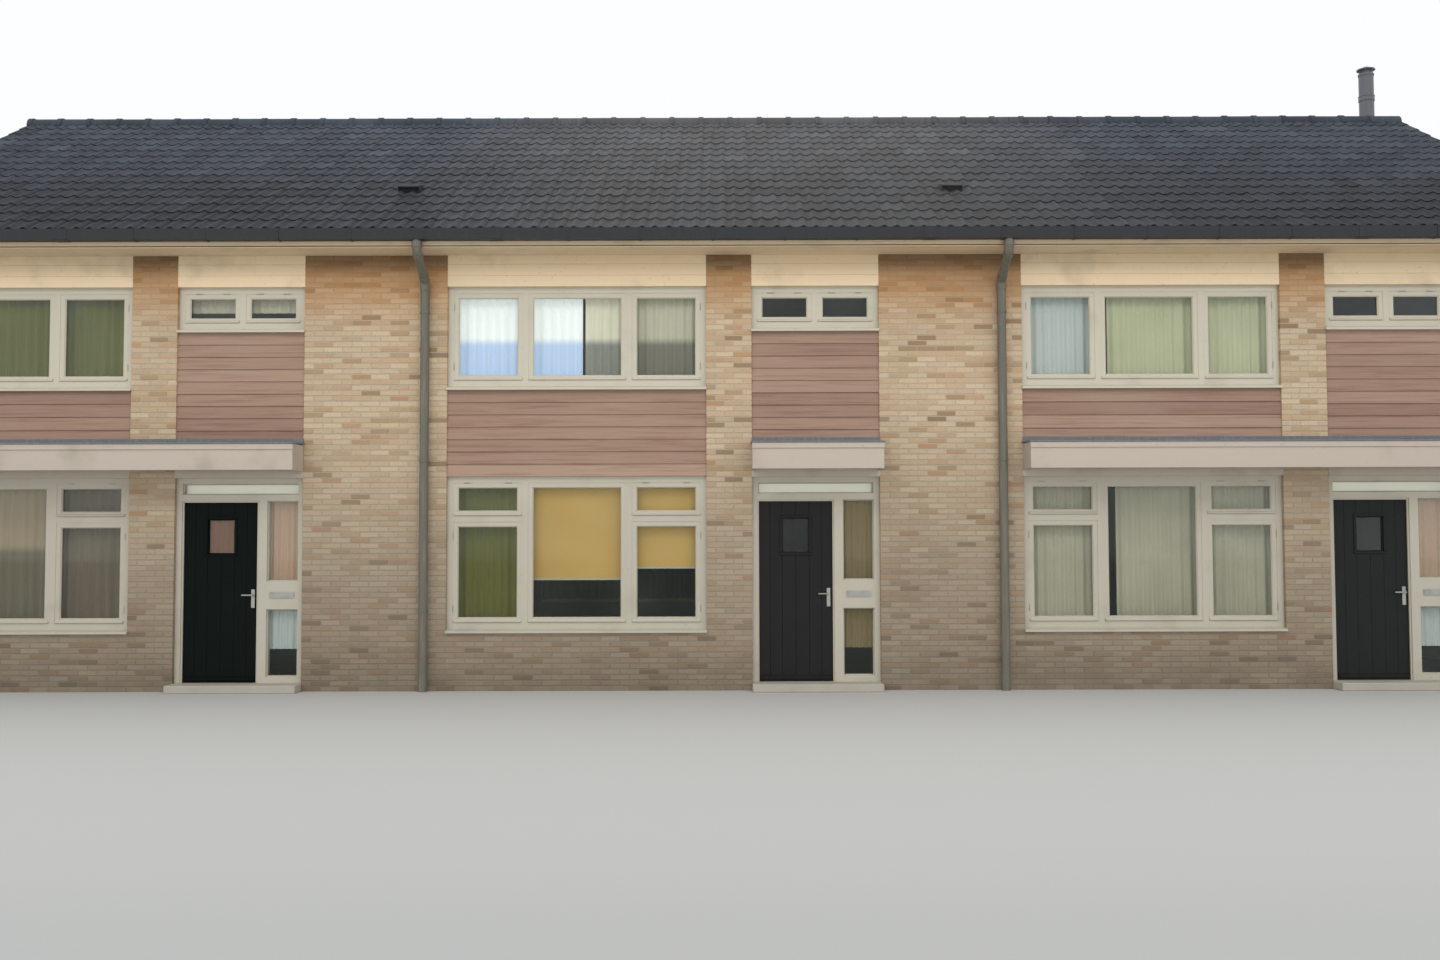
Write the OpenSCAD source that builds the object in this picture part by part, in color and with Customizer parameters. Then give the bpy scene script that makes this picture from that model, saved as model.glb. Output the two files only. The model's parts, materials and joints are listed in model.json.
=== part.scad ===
// Row of three terraced houses, two storeys under one pitched roof.
// X runs along the row, the fronts look towards -Y, Z = 0 is ground level.

/* [Row] */
// Width of one house between party lines
house_w = 6600; // [6400:50:7200]
// Depth of the houses over their outer walls
house_d = 8700; // [8000:100:9600]
// Thickness of the front and rear walls
wall_t = 280; // [250:10:320]
// Thickness of the party walls and the end walls
party_t = 250; // [200:10:300]

/* [Front plan] */
// Brick strip from the party line to the wide bay
strip_w = 240; // [220:10:320]
// Width of the wide bay with the living room window
wide_bay_w = 2980; // [2800:20:3100]
// Width of the brick pier between the two bays
pier_w = 515; // [440:5:560]
// Width of the narrow bay with the front door
narrow_bay_w = 1470; // [1420:10:1560]

/* [Heights] */
// Top of the ground floor slab
floor_z = 80; // [60:5:85]
// Top of the doorstep
step_z = 90; // [90:5:120]
// Top of the sill under the living room window
low_sill_z = 700; // [500:20:900]
// Top of the ground floor window and door frames
low_head_z = 2440; // [2400:10:2480]
// Top of the board band at the first floor
band_top_z = 2830; // [2760:10:2900]
// Top of the first floor slab
upper_floor_z = 2800; // [2740:10:2860]
// Top of the sill under the bedroom window
high_sill_z = 3480; // [3300:10:3600]
// Top of the sill under the small window above the door
small_sill_z = 4150; // [4000:10:4250]
// Top of the upper window frames
high_head_z = 4630; // [4550:10:4700]
// Top of the attic floor
attic_floor_z = 5320; // [5280:5:5340]
// Thickness of the first floor and the attic floor
slab_t = 180; // [140:5:200]

/* [Roof] */
// Rise of the roof as a share of its run
roof_slope = 0.55; // [0.46:0.01:0.7]
// Height of the tile surface at the eaves
eaves_z = 5200; // [5150:10:5250]
// Reach of the roof beyond the front and rear walls
overhang = 450; // [350:10:550]
// Thickness of the roof, measured straight down
roof_t = 160; // [140:5:180]
// Radius of the ridge tiles
ridge_r = 130; // [110:5:160]
// Thickness of the fascia and verge boards
fascia_t = 25; // [18:1:35]
// Thickness of the soffit board
soffit_t = 20; // [12:1:30]

/* [Gutter and pipes] */
// Width of the gutter from back to front
gutter_w = 120; // [100:5:140]
// Height of the gutter
gutter_h = 125; // [100:5:130]
// Thickness of the gutter wall
gutter_t = 6; // [4:1:8]
// Radius of the downpipes
pipe_r = 50; // [40:1:55]
// Gap between a downpipe and the wall
pipe_gap = 30; // [20:1:40]
// Thickness of the pipe sockets and clips
socket_t = 7; // [4:1:9]
// Radius of the pipe bends at their middle
bend_r = 110; // [90:5:120]
// Slant of the swan neck from straight down in degrees
neck_angle = 60; // [50:1:65]
// Radius of the flue pipe on the roof
flue_r = 105; // [80:5:130]
// Height of the flue above the ridge
flue_h = 870; // [600:10:1100]

/* [Window joinery] */
// Depth of the frames behind the outer wall face
frame_in = 60; // [40:5:90]
// Thickness of the frames from outside to inside
frame_t = 100; // [90:2:120]
// Width of the outer frame members
jamb_w = 70; // [60:1:80]
// Width of the mullions between two lights
mullion_w = 67; // [55:1:80]
// Share of the wide bay taken by each side light
side_share = 0.3; // [0.25:0.01:0.35]
// Height of the vents above the side lights downstairs
vent_h = 380; // [300:10:450]
// Width of the sash members
sash_w = 50; // [40:1:60]
// Thickness of the sashes
sash_t = 54; // [46:1:60]
// Width of the rebate in which a sash closes
rebate_w = 14; // [8:1:20]
// Reach of the weather bar at the foot of a sash
weather_bar_out = 22; // [15:1:30]
// Thickness of the double glazing
glass_t = 20; // [16:1:24]
// Height of the sills
sill_h = 45; // [40:1:60]
// Reach of the sills in front of the wall
sill_out = 35; // [25:1:60]

/* [Cladding] */
// Thickness of the cladding boards
board_t = 25; // [18:1:25]
// Depth of the cladding face behind the brick face
board_in = 10; // [0:1:20]

/* [Front door] */
// Width of the door leaf
leaf_w = 868; // [820:2:900]
// Thickness of the door leaf
leaf_t = 54; // [44:1:58]
// Height of the doorway above the step
doorway_h = 2080; // [2050:5:2110]
// Width of the frame post beside the door
post_w = 100; // [80:2:120]
// Gap round the door leaf
leaf_gap = 6; // [5:0.5:8]
// Width of the glazed opening in the leaf
door_light_w = 310; // [240:10:420]
// Height of that opening
door_light_h = 400; // [300:10:480]
// Lower edge of that opening above the step
door_light_z = 1470; // [1350:10:1500]
// Depth of the panes and panels behind the faces of the doors
panel_in = 15; // [10:1:18]
// Underside of the rail with the letter plate, beside the door
mid_rail_z = 930; // [800:10:1000]
// Height of that rail
mid_rail_h = 320; // [200:10:360]
// Reach of the doorstep in front of the wall
step_out = 250; // [150:10:350]
// Reach of the canopy in front of the wall
canopy_out = 420; // [300:10:450]
// Height of the canopy fascia
canopy_h = 330; // [250:10:360]

/* [Hidden] */

brick = "#bba78e";
boards = "#96796b";
cream = "#ded9cb";
slate = "#4b4f55";
plastic = "#696658";
concrete = "#b4b0a8";

count = 3;
left = 0;
middle = 1;
right = 2;
all_houses = [left, middle, right];
face_y = -house_d / 2;
inner_y = face_y + wall_t;
row_end = count * house_w / 2 + party_t / 2;
eave_y = face_y - overhang;
gutter_back = eave_y - fascia_t;
ridge_z = eaves_z - eave_y * roof_slope;
soffit_z = eaves_z - roof_t;
backing_in = board_in + board_t;
frame_back = frame_in + frame_t;
sash_step = 6;
sash_in = frame_in + sash_step;
sash_back = sash_in + sash_t;
glass_in = sash_in + (sash_t - glass_t) / 2;
door_head_z = step_z + doorway_h;
leaf_in = frame_back - leaf_t;
$fn = 48;

function party_x(i) = (i - count / 2) * house_w;
function wide_x0(i) = party_x(i) + strip_w;
function wide_x1(i) = wide_x0(i) + wide_bay_w;
function narrow_x0(i) = wide_x1(i) + pier_w;
function narrow_x1(i) = narrow_x0(i) + narrow_bay_w;
function leaf_x0(i) = narrow_x0(i) + jamb_w;
function leaf_x1(i) = leaf_x0(i) + leaf_w;
function post_x1(i) = leaf_x1(i) + leaf_gap + post_w;
function roof_z(y) = ridge_z - abs(y) * roof_slope;
function under_roof_z(y) = roof_z(y) - roof_t;

// A box by its corners in X, its depth range behind the outer wall face and its heights
module slab(x0, x1, d0, d1, z0, z1) {
    translate([x0, face_y + d0, z0]) cube([x1 - x0, d1 - d0, z1 - z0]);
}

// An outline in Y and Z, drawn out from x0 to x1
module along_row(x0, x1) {
    translate([x0, 0, 0]) rotate([90, 0, 90]) linear_extrude(x1 - x0) children();
}

module rear_copy() {
    mirror([0, 1, 0]) children();
}

module both_sides() {
    children();
    rear_copy() children();
}

// Cross-section of the front wall from z0 up to the slope of the roof
module wall_outline(d0, d1, z0) {
    polygon([[face_y + d0, z0], [face_y + d1, z0],
             [face_y + d1, under_roof_z(face_y + d1)], [face_y + d0, under_roof_z(face_y + d0)]]);
}

// Cross walls

module cross_wall(x) {
    along_row(x - party_t / 2, x + party_t / 2)
        polygon([[inner_y, 0], [-inner_y, 0], [-inner_y, under_roof_z(inner_y)],
                 [0, ridge_z - roof_t], [inner_y, under_roof_z(inner_y)]]);
}

module gable_wall_left() { color(brick) cross_wall(party_x(0)); }
module party_wall_left() { color(concrete) cross_wall(party_x(1)); }
module party_wall_right() { color(concrete) cross_wall(party_x(2)); }
module gable_wall_right() { color(brick) cross_wall(party_x(3)); }

// Brickwork of the fronts

module piers() {
    ends = concat([[-row_end, wide_x0(left)]],
                  [for (i = [left, middle]) [narrow_x1(i), wide_x0(i + 1)]],
                  [[narrow_x1(right), row_end]],
                  [for (i = all_houses) [wide_x1(i), narrow_x0(i)]]);
    for (e = ends) along_row(e[0], e[1]) wall_outline(0, wall_t, 0);
}

module front_piers() { color(brick) piers(); }
module rear_piers() { color(brick) rear_copy() piers(); }

module dwarf_walls() {
    color(brick) both_sides() for (i = all_houses)
        slab(wide_x0(i), wide_x1(i), 0, wall_t, 0, low_sill_z - sill_h);
}

module infill_walls() {
    color(concrete) both_sides() for (i = all_houses) {
        slab(wide_x0(i), wide_x1(i), backing_in, wall_t, low_head_z, high_sill_z - sill_h);
        slab(narrow_x0(i), narrow_x1(i), backing_in, wall_t, low_head_z, small_sill_z - sill_h);
    }
}

module head_boards() {
    color(cream) both_sides() for (i = all_houses) {
        along_row(wide_x0(i), wide_x1(i)) wall_outline(board_in, wall_t, high_head_z);
        along_row(narrow_x0(i), narrow_x1(i)) wall_outline(board_in, wall_t, high_head_z);
    }
}

// Floors

module floors(z0, z1) {
    for (i = all_houses)
        translate([party_x(i) + party_t / 2, inner_y, z0])
            cube([house_w - party_t, -2 * inner_y, z1 - z0]);
}

module ground_floors() { color(concrete) floors(0, floor_z); }
module upper_floors() { color(concrete) floors(upper_floor_z - slab_t, upper_floor_z); }
module attic_floors() { color(concrete) floors(attic_floor_z - slab_t, attic_floor_z); }

// Roof

module slope_outline() {
    polygon([[eave_y, soffit_z], [eave_y, eaves_z], [0, ridge_z], [0, ridge_z - roof_t]]);
}

module roof_front() { color(slate) along_row(-row_end, row_end) slope_outline(); }
module roof_rear() { color(slate) rear_copy() along_row(-row_end, row_end) slope_outline(); }

module above_roof() {
    reach = -2 * eave_y;
    difference() {
        children();
        polygon([[-reach, roof_z(reach)], [0, ridge_z], [reach, roof_z(reach)]]);
    }
}

module ridge_tiles() {
    seat_drop = 40;
    color(slate) along_row(-row_end, row_end)
        above_roof() translate([0, ridge_z - seat_drop]) circle(r = ridge_r);
}

module verge_boards() {
    below_slab = 60;
    board_h = roof_t + below_slab;
    color(cream) for (x = [-row_end - fascia_t, row_end]) along_row(x, x + fascia_t)
        polygon([[eave_y, eaves_z], [0, ridge_z], [-eave_y, eaves_z],
                 [-eave_y, eaves_z - board_h], [0, ridge_z - board_h], [eave_y, eaves_z - board_h]]);
}

module eaves_boards() {
    drip = 10;
    along_row(-row_end, row_end)
        polygon([[gutter_back, soffit_z - soffit_t - drip], [eave_y, soffit_z - soffit_t - drip],
                 [eave_y, soffit_z - soffit_t], [face_y, soffit_z - soffit_t], [face_y, soffit_z],
                 [eave_y, soffit_z], [eave_y, eaves_z - drip], [gutter_back, eaves_z - drip]]);
}

module eaves_boards_front() { color(cream) eaves_boards(); }
module eaves_boards_rear() { color(cream) rear_copy() eaves_boards(); }

// Gutters and pipes

gutter_drop = 20;
gutter_top = eaves_z - gutter_drop;
gutter_bottom = gutter_top - gutter_h;
outlet_y = gutter_back - gutter_w / 2;
pipe_y = face_y - pipe_gap - pipe_r;

module gutter() {
    bead = 12;
    along_row(-row_end, row_end) {
        difference() {
            translate([gutter_back - gutter_w, gutter_bottom]) square([gutter_w, gutter_h]);
            translate([gutter_back - gutter_w + gutter_t, gutter_bottom + gutter_t])
                square([gutter_w - 2 * gutter_t, gutter_h]);
        }
        translate([gutter_back - gutter_w, gutter_top - bead]) square([bead, bead]);
    }
    for (side = [-1, 1])
        translate([side > 0 ? row_end - gutter_t : -row_end, gutter_back - gutter_w, gutter_bottom])
            cube([gutter_t, gutter_w, gutter_h]);
}

module gutter_front() { color(slate) gutter(); }
module gutter_rear() { color(slate) rear_copy() gutter(); }

// An elbow in the Y-Z plane: it leaves the origin going down and turns towards +Y
module elbow() {
    socket_h = 60;
    lap = 20;
    bend_y = bend_r * (1 - cos(neck_angle));
    bend_z = bend_r * sin(neck_angle);
    translate([0, bend_r, 0]) rotate([90, 0, 90]) rotate([0, 0, 180])
        rotate_extrude(angle = neck_angle) translate([bend_r, 0]) circle(r = pipe_r + 2);
    translate([0, 0, -lap]) cylinder(r = pipe_r + socket_t, h = socket_h);
    translate([0, bend_y, -bend_z]) rotate([neck_angle, 0, 0])
        translate([0, 0, lap - socket_h]) cylinder(r = pipe_r + socket_t, h = socket_h);
}

module downpipe(x) {
    clip_count = 3;
    clip_low = 900;
    clip_step = 1700;
    clip_h = 30;
    spigot_h = 60;
    bend_y = bend_r * (1 - cos(neck_angle));
    bend_z = bend_r * sin(neck_angle);
    neck_len = (pipe_y - outlet_y - 2 * bend_y) / sin(neck_angle);
    top_z = gutter_bottom - spigot_h;
    low_z = top_z - 2 * bend_z - neck_len * cos(neck_angle);
    translate([x, 0, 0]) {
        translate([0, outlet_y, top_z]) {
            cylinder(r = pipe_r, h = spigot_h);
            elbow();
        }
        translate([0, pipe_y - bend_y, low_z + bend_z]) rotate([neck_angle, 0, 0])
            cylinder(r = pipe_r, h = neck_len);
        translate([0, pipe_y, low_z]) rotate([180, 0, 0]) elbow();
        translate([0, pipe_y, 0]) {
            cylinder(r = pipe_r, h = low_z);
            for (k = [0:clip_count - 1]) translate([0, 0, clip_low + k * clip_step]) {
                cylinder(r = pipe_r + socket_t, h = clip_h);
                translate([-clip_h / 2, 0, 0]) cube([clip_h, face_y - pipe_y, clip_h]);
            }
        }
    }
}

module downpipes() {
    for (k = [0:count]) downpipe(party_x(k));
}

module downpipes_front() { color(plastic) downpipes(); }
module downpipes_rear() { color(plastic) rear_copy() downpipes(); }

module flue_pipe() {
    flue_in = 150;
    flue_y = 290;
    neck_step = 20;
    neck_h = 50;
    neck_lap = 1;
    cowl_reach = 25;
    cowl_h = 60;
    rim_h = 20;
    tip_r = 30;
    collar_reach = 40;
    collar_play = 2;
    collar_h = 40;
    collar_rise = 60;
    flashing_w = 360;
    flashing_l = 340;
    flashing_low = 140;
    flashing_t = 12;
    low_y = flue_y - flashing_low;
    high_y = low_y + flashing_l;
    cut_y = 3 * flashing_l;
    cowl_r = flue_r + cowl_reach;
    top_z = ridge_z + flue_h;
    color(slate) translate([party_x(count) - flue_in, 0, 0]) {
        difference() {
            translate([0, flue_y, ridge_z - roof_t]) cylinder(r = flue_r, h = flue_h - neck_h + roof_t);
            along_row(-flashing_w, flashing_w)
                polygon([[0, ridge_z - 2 * roof_t], [0, ridge_z + flashing_t],
                         [cut_y, roof_z(cut_y) + flashing_t], [cut_y, ridge_z - 2 * roof_t - cut_y]]);
        }
        translate([0, flue_y, ridge_z + collar_rise])
            cylinder(r1 = flue_r + collar_reach, r2 = flue_r + collar_play, h = collar_h);
        translate([0, flue_y, top_z - neck_h - neck_lap])
            cylinder(r = flue_r - neck_step, h = neck_h + 2 * neck_lap);
        translate([0, flue_y, top_z]) {
            cylinder(r = cowl_r, h = rim_h);
            translate([0, 0, rim_h]) cylinder(r1 = cowl_r, r2 = tip_r, h = cowl_h - rim_h);
        }
        along_row(-flashing_w / 2, flashing_w / 2)
            polygon([[low_y, roof_z(low_y)], [high_y, roof_z(high_y)],
                     [high_y, roof_z(high_y) + flashing_t], [low_y, roof_z(low_y) + flashing_t]]);
    }
}

module roof_vents() {
    vent_y = -3370;
    vent_w = 260;
    vent_l = 300;
    vent_rise = 90;
    side_x = 400;
    color(slate) for (i = all_houses)
        along_row(party_x(i + 1) - side_x - vent_w / 2, party_x(i + 1) - side_x + vent_w / 2)
            polygon([[vent_y - vent_l / 2, roof_z(vent_y - vent_l / 2)],
                     [vent_y + vent_l / 2, roof_z(vent_y + vent_l / 2)],
                     [vent_y - vent_l / 2, roof_z(vent_y - vent_l / 2) + vent_rise]]);
}

// Cladding between the windows

function clad_low_z(i) = i == middle ? low_head_z : band_top_z;

module cladding_boards() {
    color(boards) both_sides() for (i = all_houses) {
        slab(wide_x0(i), wide_x1(i), board_in, backing_in, clad_low_z(i), high_sill_z - sill_h);
        slab(narrow_x0(i), narrow_x1(i), board_in, backing_in, band_top_z, small_sill_z - sill_h);
    }
}

module band_boards() {
    color(cream) both_sides() for (i = all_houses) {
        if (i != middle) slab(wide_x0(i), wide_x1(i), 0, backing_in, low_head_z, band_top_z);
        slab(narrow_x0(i), narrow_x1(i), 0, backing_in, low_head_z, band_top_z);
    }
}

module canopies() {
    fall = 30;
    color(cream) for (i = all_houses)
        along_row(i == middle ? narrow_x0(i) : wide_x0(i), narrow_x1(i))
            polygon([[face_y, band_top_z - canopy_h], [face_y, band_top_z],
                     [face_y - canopy_out, band_top_z - fall],
                     [face_y - canopy_out, band_top_z - canopy_h]]);
}

// Windows: a light is [x0, x1, z0, z1], the hole that one sash fills

function between(edges, z0, z1) =
    [for (k = [0:len(edges) - 2]) [edges[k] + mullion_w / 2, edges[k + 1] - mullion_w / 2, z0, z1]];
function outer_edges(x0, x1) = [x0 + jamb_w - mullion_w / 2, x1 - jamb_w + mullion_w / 2];
function wide_edges(i) = let (o = outer_edges(wide_x0(i), wide_x1(i)))
    [o[0], wide_x0(i) + side_share * wide_bay_w, wide_x1(i) - side_share * wide_bay_w, o[1]];
function high_lights(i) = between(wide_edges(i), high_sill_z + jamb_w, high_head_z - jamb_w);
function small_lights(i) =
    between(let (o = outer_edges(narrow_x0(i), narrow_x1(i)))
            [o[0], (narrow_x0(i) + narrow_x1(i)) / 2, o[1]],
            small_sill_z + jamb_w, high_head_z - jamb_w);
function low_lights(i) =
    let (all = between(wide_edges(i), low_sill_z + jamb_w, low_head_z - jamb_w), top = low_head_z - jamb_w)
    concat([all[1]], [for (l = [all[0], all[2]]) each
        [[l[0], l[1], l[2], top - vent_h - mullion_w], [l[0], l[1], top - vent_h, top]]]);

module frame(x0, x1, z0, z1, lights, plain_holes = []) {
    difference() {
        slab(x0, x1, frame_in, frame_back, z0, z1);
        for (l = lights) {
            slab(l[0], l[1], frame_in - 1, sash_back, l[2], l[3]);
            slab(l[0] + rebate_w, l[1] - rebate_w, frame_in, frame_back + 1,
                 l[2] + rebate_w, l[3] - rebate_w);
        }
        for (h = plain_holes) slab(h[0], h[1], frame_in - 1, frame_back + 1, h[2], h[3]);
    }
}

module sash(l) {
    bar_h = 30;
    bar_side = 6;
    bar_low = 8;
    bar_z = l[2] + bar_low;
    difference() {
        slab(l[0], l[1], sash_in, sash_back, l[2], l[3]);
        slab(l[0] + sash_w, l[1] - sash_w, sash_in - 1, sash_back + 1, l[2] + sash_w, l[3] - sash_w);
    }
    along_row(l[0] + bar_side, l[1] - bar_side)
        polygon([[face_y + sash_in + 1, bar_z], [face_y + sash_in + 1, bar_z + bar_h],
                 [face_y + sash_in - weather_bar_out, bar_z + bar_h / 3],
                 [face_y + sash_in - weather_bar_out, bar_z]]);
}

module pane(l) {
    slab(l[0] + sash_w, l[1] - sash_w, glass_in, glass_in + glass_t, l[2] + sash_w, l[3] - sash_w);
}

// A sill with a sloping top, a drip nose and a flat seat under the frame
module sill(x0, x1, z) {
    nose_h = 25;
    throat = 8;
    along_row(x0, x1)
        polygon([[face_y - sill_out, z - sill_h], [face_y - sill_out + throat, z - sill_h],
                 [face_y - sill_out + 2 * throat, z - sill_h + throat], [face_y, z - sill_h],
                 [face_y + frame_back, z - sill_h], [face_y + frame_back, z],
                 [face_y + frame_in, z], [face_y - sill_out, z - sill_h + nose_h]]);
}

module low_sills() {
    color(cream) both_sides() for (i = all_houses) sill(wide_x0(i), wide_x1(i), low_sill_z);
}
module high_sills() {
    color(cream) both_sides() for (i = all_houses) sill(wide_x0(i), wide_x1(i), high_sill_z);
}
module small_sills() {
    color(cream) both_sides() for (i = all_houses) sill(narrow_x0(i), narrow_x1(i), small_sill_z);
}

module low_frames() {
    color(cream) both_sides() for (i = all_houses)
        frame(wide_x0(i), wide_x1(i), low_sill_z, low_head_z, low_lights(i));
}
module high_frames() {
    color(cream) both_sides() for (i = all_houses)
        frame(wide_x0(i), wide_x1(i), high_sill_z, high_head_z, high_lights(i));
}
module small_frames() {
    color(cream) both_sides() for (i = all_houses)
        frame(narrow_x0(i), narrow_x1(i), small_sill_z, high_head_z, small_lights(i));
}

module low_sashes() { color(cream) both_sides() for (i = all_houses) for (l = low_lights(i)) sash(l); }
module high_sashes() { color(cream) both_sides() for (i = all_houses) for (l = high_lights(i)) sash(l); }
module small_sashes() { color(cream) both_sides() for (i = all_houses) for (l = small_lights(i)) sash(l); }
module low_glass() { color("#7f8c86") both_sides() for (i = all_houses) for (l = low_lights(i)) pane(l); }
module high_glass() { color("#7f8c86") both_sides() for (i = all_houses) for (l = high_lights(i)) pane(l); }
module small_glass() { color("#7f8c86") both_sides() for (i = all_houses) for (l = small_lights(i)) pane(l); }

// Front doors

toplight_z0 = door_head_z + jamb_w;
toplight_z1 = low_head_z - jamb_w;
function side_lights(i) = [for (z = [[step_z + jamb_w, mid_rail_z], [mid_rail_z + mid_rail_h, door_head_z]])
    [post_x1(i), narrow_x1(i) - jamb_w, z[0], z[1]]];
function top_lights(i) = [[narrow_x0(i) + jamb_w, narrow_x1(i) - jamb_w, toplight_z0, toplight_z1]];
function doorway(i) = [narrow_x0(i) + jamb_w - leaf_gap, leaf_x1(i) + leaf_gap, step_z, door_head_z];

module doorsteps() {
    color(concrete) both_sides() for (i = all_houses)
        slab(narrow_x0(i), narrow_x1(i), -step_out, wall_t, 0, step_z);
}

module door_frame(i) {
    frame(narrow_x0(i), narrow_x1(i), step_z, low_head_z,
          concat(side_lights(i), top_lights(i)), [doorway(i) - [0, 0, 1, 0]]);
}

module door_frame_left() { color(cream) door_frame(left); }
module door_frame_middle() { color(cream) door_frame(middle); }
module door_frame_right() { color(cream) door_frame(right); }

// Strips against which the closed leaf rests
module door_stops() {
    lap = 12;
    strip_t = 20;
    color(cream) both_sides() for (i = all_houses) let (w = doorway(i)) difference() {
        slab(w[0], w[1], leaf_in - leaf_gap - strip_t, leaf_in - leaf_gap, step_z, w[3]);
        slab(w[0] + leaf_gap + lap, w[1] - leaf_gap - lap, 0, wall_t, step_z - 1, w[3] - leaf_gap - lap);
    }
}

module door_side_glass() {
    color("#7f8c86") both_sides() for (i = all_houses)
        for (l = concat(side_lights(i), top_lights(i)))
            slab(l[0], l[1], sash_back - glass_t, sash_back, l[2], l[3]);
}

// Sinks a field into both faces of a door between the depths d0 and d1
module sunk_field(x0, x1, d0, d1, z0, z1) {
    slab(x0, x1, d0 - 1, d0 + panel_in, z0, z1);
    slab(x0, x1, d1 - panel_in, d1 + 1, z0, z1);
}

module leaf(i) {
    light_x = (leaf_x0(i) + leaf_x1(i)) / 2;
    light_z = step_z + door_light_z;
    difference() {
        slab(leaf_x0(i), leaf_x1(i), leaf_in, frame_back, step_z + leaf_gap, door_head_z - leaf_gap);
        sunk_field(light_x - door_light_w / 2, light_x + door_light_w / 2, leaf_in, frame_back,
                   light_z, light_z + door_light_h);
    }
}

module door_leaf_left() { color("#18211f") leaf(left); }
module door_leaf_middle() { color("#2c2c2d") leaf(middle); }
module door_leaf_right() { color("#2a2d2c") leaf(right); }

// The hinge line stands just inside the leaf's inner face
hinge_out = 10;
knuckle_r = 8;
function hinge_x(i) = leaf_x0(i) - leaf_gap / 2;
hinge_y = face_y + frame_back + hinge_out;

// A lever handle on its plate: side is 1 on the inner face, -1 on the outer face
module lever(side) {
    plate_w = 40;
    plate_h = 210;
    plate_t = 8;
    neck_r = 11;
    bar_r = 10;
    bar_l = 120;
    bar_z = 40;
    reach = 45;
    translate([-plate_w / 2, side > 0 ? 0 : -plate_t, -plate_h / 2]) cube([plate_w, plate_t, plate_h]);
    translate([0, 0, bar_z]) rotate([-90 * side, 0, 0]) cylinder(r = neck_r, h = reach + neck_r);
    translate([0, side * reach, bar_z]) rotate([0, -90, 0]) cylinder(r = bar_r, h = bar_l);
}

module fittings(i) {
    backset = 60;
    lever_z = 1050;
    flap_w = 34;
    flap_t = 4;
    hinge_l = 90;
    low_end = 200;
    high_end = 200;
    translate([leaf_x1(i) - backset, 0, lever_z]) {
        translate([0, face_y + leaf_in, 0]) lever(-1);
        translate([0, face_y + frame_back, 0]) lever(1);
    }
    for (z = [step_z + low_end, step_z + (doorway_h - hinge_l) / 2, door_head_z - high_end - hinge_l]) {
        translate([hinge_x(i), hinge_y, z]) cylinder(r = knuckle_r, h = hinge_l);
        slab(leaf_x0(i), leaf_x0(i) + flap_w, frame_back, frame_back + flap_t, z, z + hinge_l);
    }
}

module door_fittings_left() { color("#8f8f8a") fittings(left); }
module door_fittings_middle() { color("#8f8f8a") fittings(middle); }
module door_fittings_right() { color("#8f8f8a") fittings(right); }

// Letter plates on the rails beside the front doors
module letter_plates() {
    plate_w = 280;
    plate_h = 70;
    plate_t = 8;
    flap_t = 3;
    rim = 8;
    color("#8f8f8a") for (i = all_houses) let (
        mid_x = (post_x1(i) + narrow_x1(i) - jamb_w) / 2,
        z = mid_rail_z + (mid_rail_h - plate_h) / 2) {
        slab(mid_x - plate_w / 2, mid_x + plate_w / 2, frame_in - plate_t, frame_in, z, z + plate_h);
        slab(mid_x - plate_w / 2 + rim, mid_x + plate_w / 2 - rim, frame_in - plate_t - flap_t,
             frame_in - plate_t + 1, z + rim, z + plate_h - rim);
    }
}

// Rear doors, fixed: a pane above the lock rail and a panel below it

module rear_door_frames() { color(cream) rear_copy() for (i = all_houses) door_frame(i); }

module rear_leaf(i) {
    stile_w = 125;
    foot_h = 230;
    rail_z = 900;
    rail_h = 160;
    w = doorway(i);
    outer_in = leaf_in - leaf_gap;
    difference() {
        slab(w[0], w[1], outer_in, frame_back, w[2], w[3]);
        for (z = [[w[2] + foot_h, w[2] + rail_z], [w[2] + rail_z + rail_h, w[3] - stile_w]])
            sunk_field(w[0] + stile_w, w[1] - stile_w, outer_in, frame_back, z[0], z[1]);
    }
}

module rear_door_leaves() { color("#d8d4c6") rear_copy() for (i = all_houses) rear_leaf(i); }

gable_wall_left();
party_wall_left();
party_wall_right();
gable_wall_right();
front_piers();
rear_piers();
dwarf_walls();
infill_walls();
head_boards();
ground_floors();
upper_floors();
attic_floors();
roof_front();
roof_rear();
ridge_tiles();
verge_boards();
eaves_boards_front();
eaves_boards_rear();
gutter_front();
gutter_rear();
downpipes_front();
downpipes_rear();
flue_pipe();
roof_vents();
cladding_boards();
band_boards();
canopies();
low_sills();
low_frames();
low_sashes();
low_glass();
high_sills();
high_frames();
high_sashes();
high_glass();
small_sills();
small_frames();
small_sashes();
small_glass();
doorsteps();
door_frame_left();
door_frame_middle();
door_frame_right();
door_stops();
door_side_glass();
letter_plates();
rear_door_frames();
rear_door_leaves();
door_leaf_left();
door_leaf_middle();
door_leaf_right();
door_fittings_left();
door_fittings_middle();
door_fittings_right();
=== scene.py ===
"""The looks of a terraced house row: bricks, tiles, boards, joinery, doors and glass on its CAD frame."""
import json
import math
import random

import bmesh
import bpy
import numpy as np
from mathutils import Matrix, Vector


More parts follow.
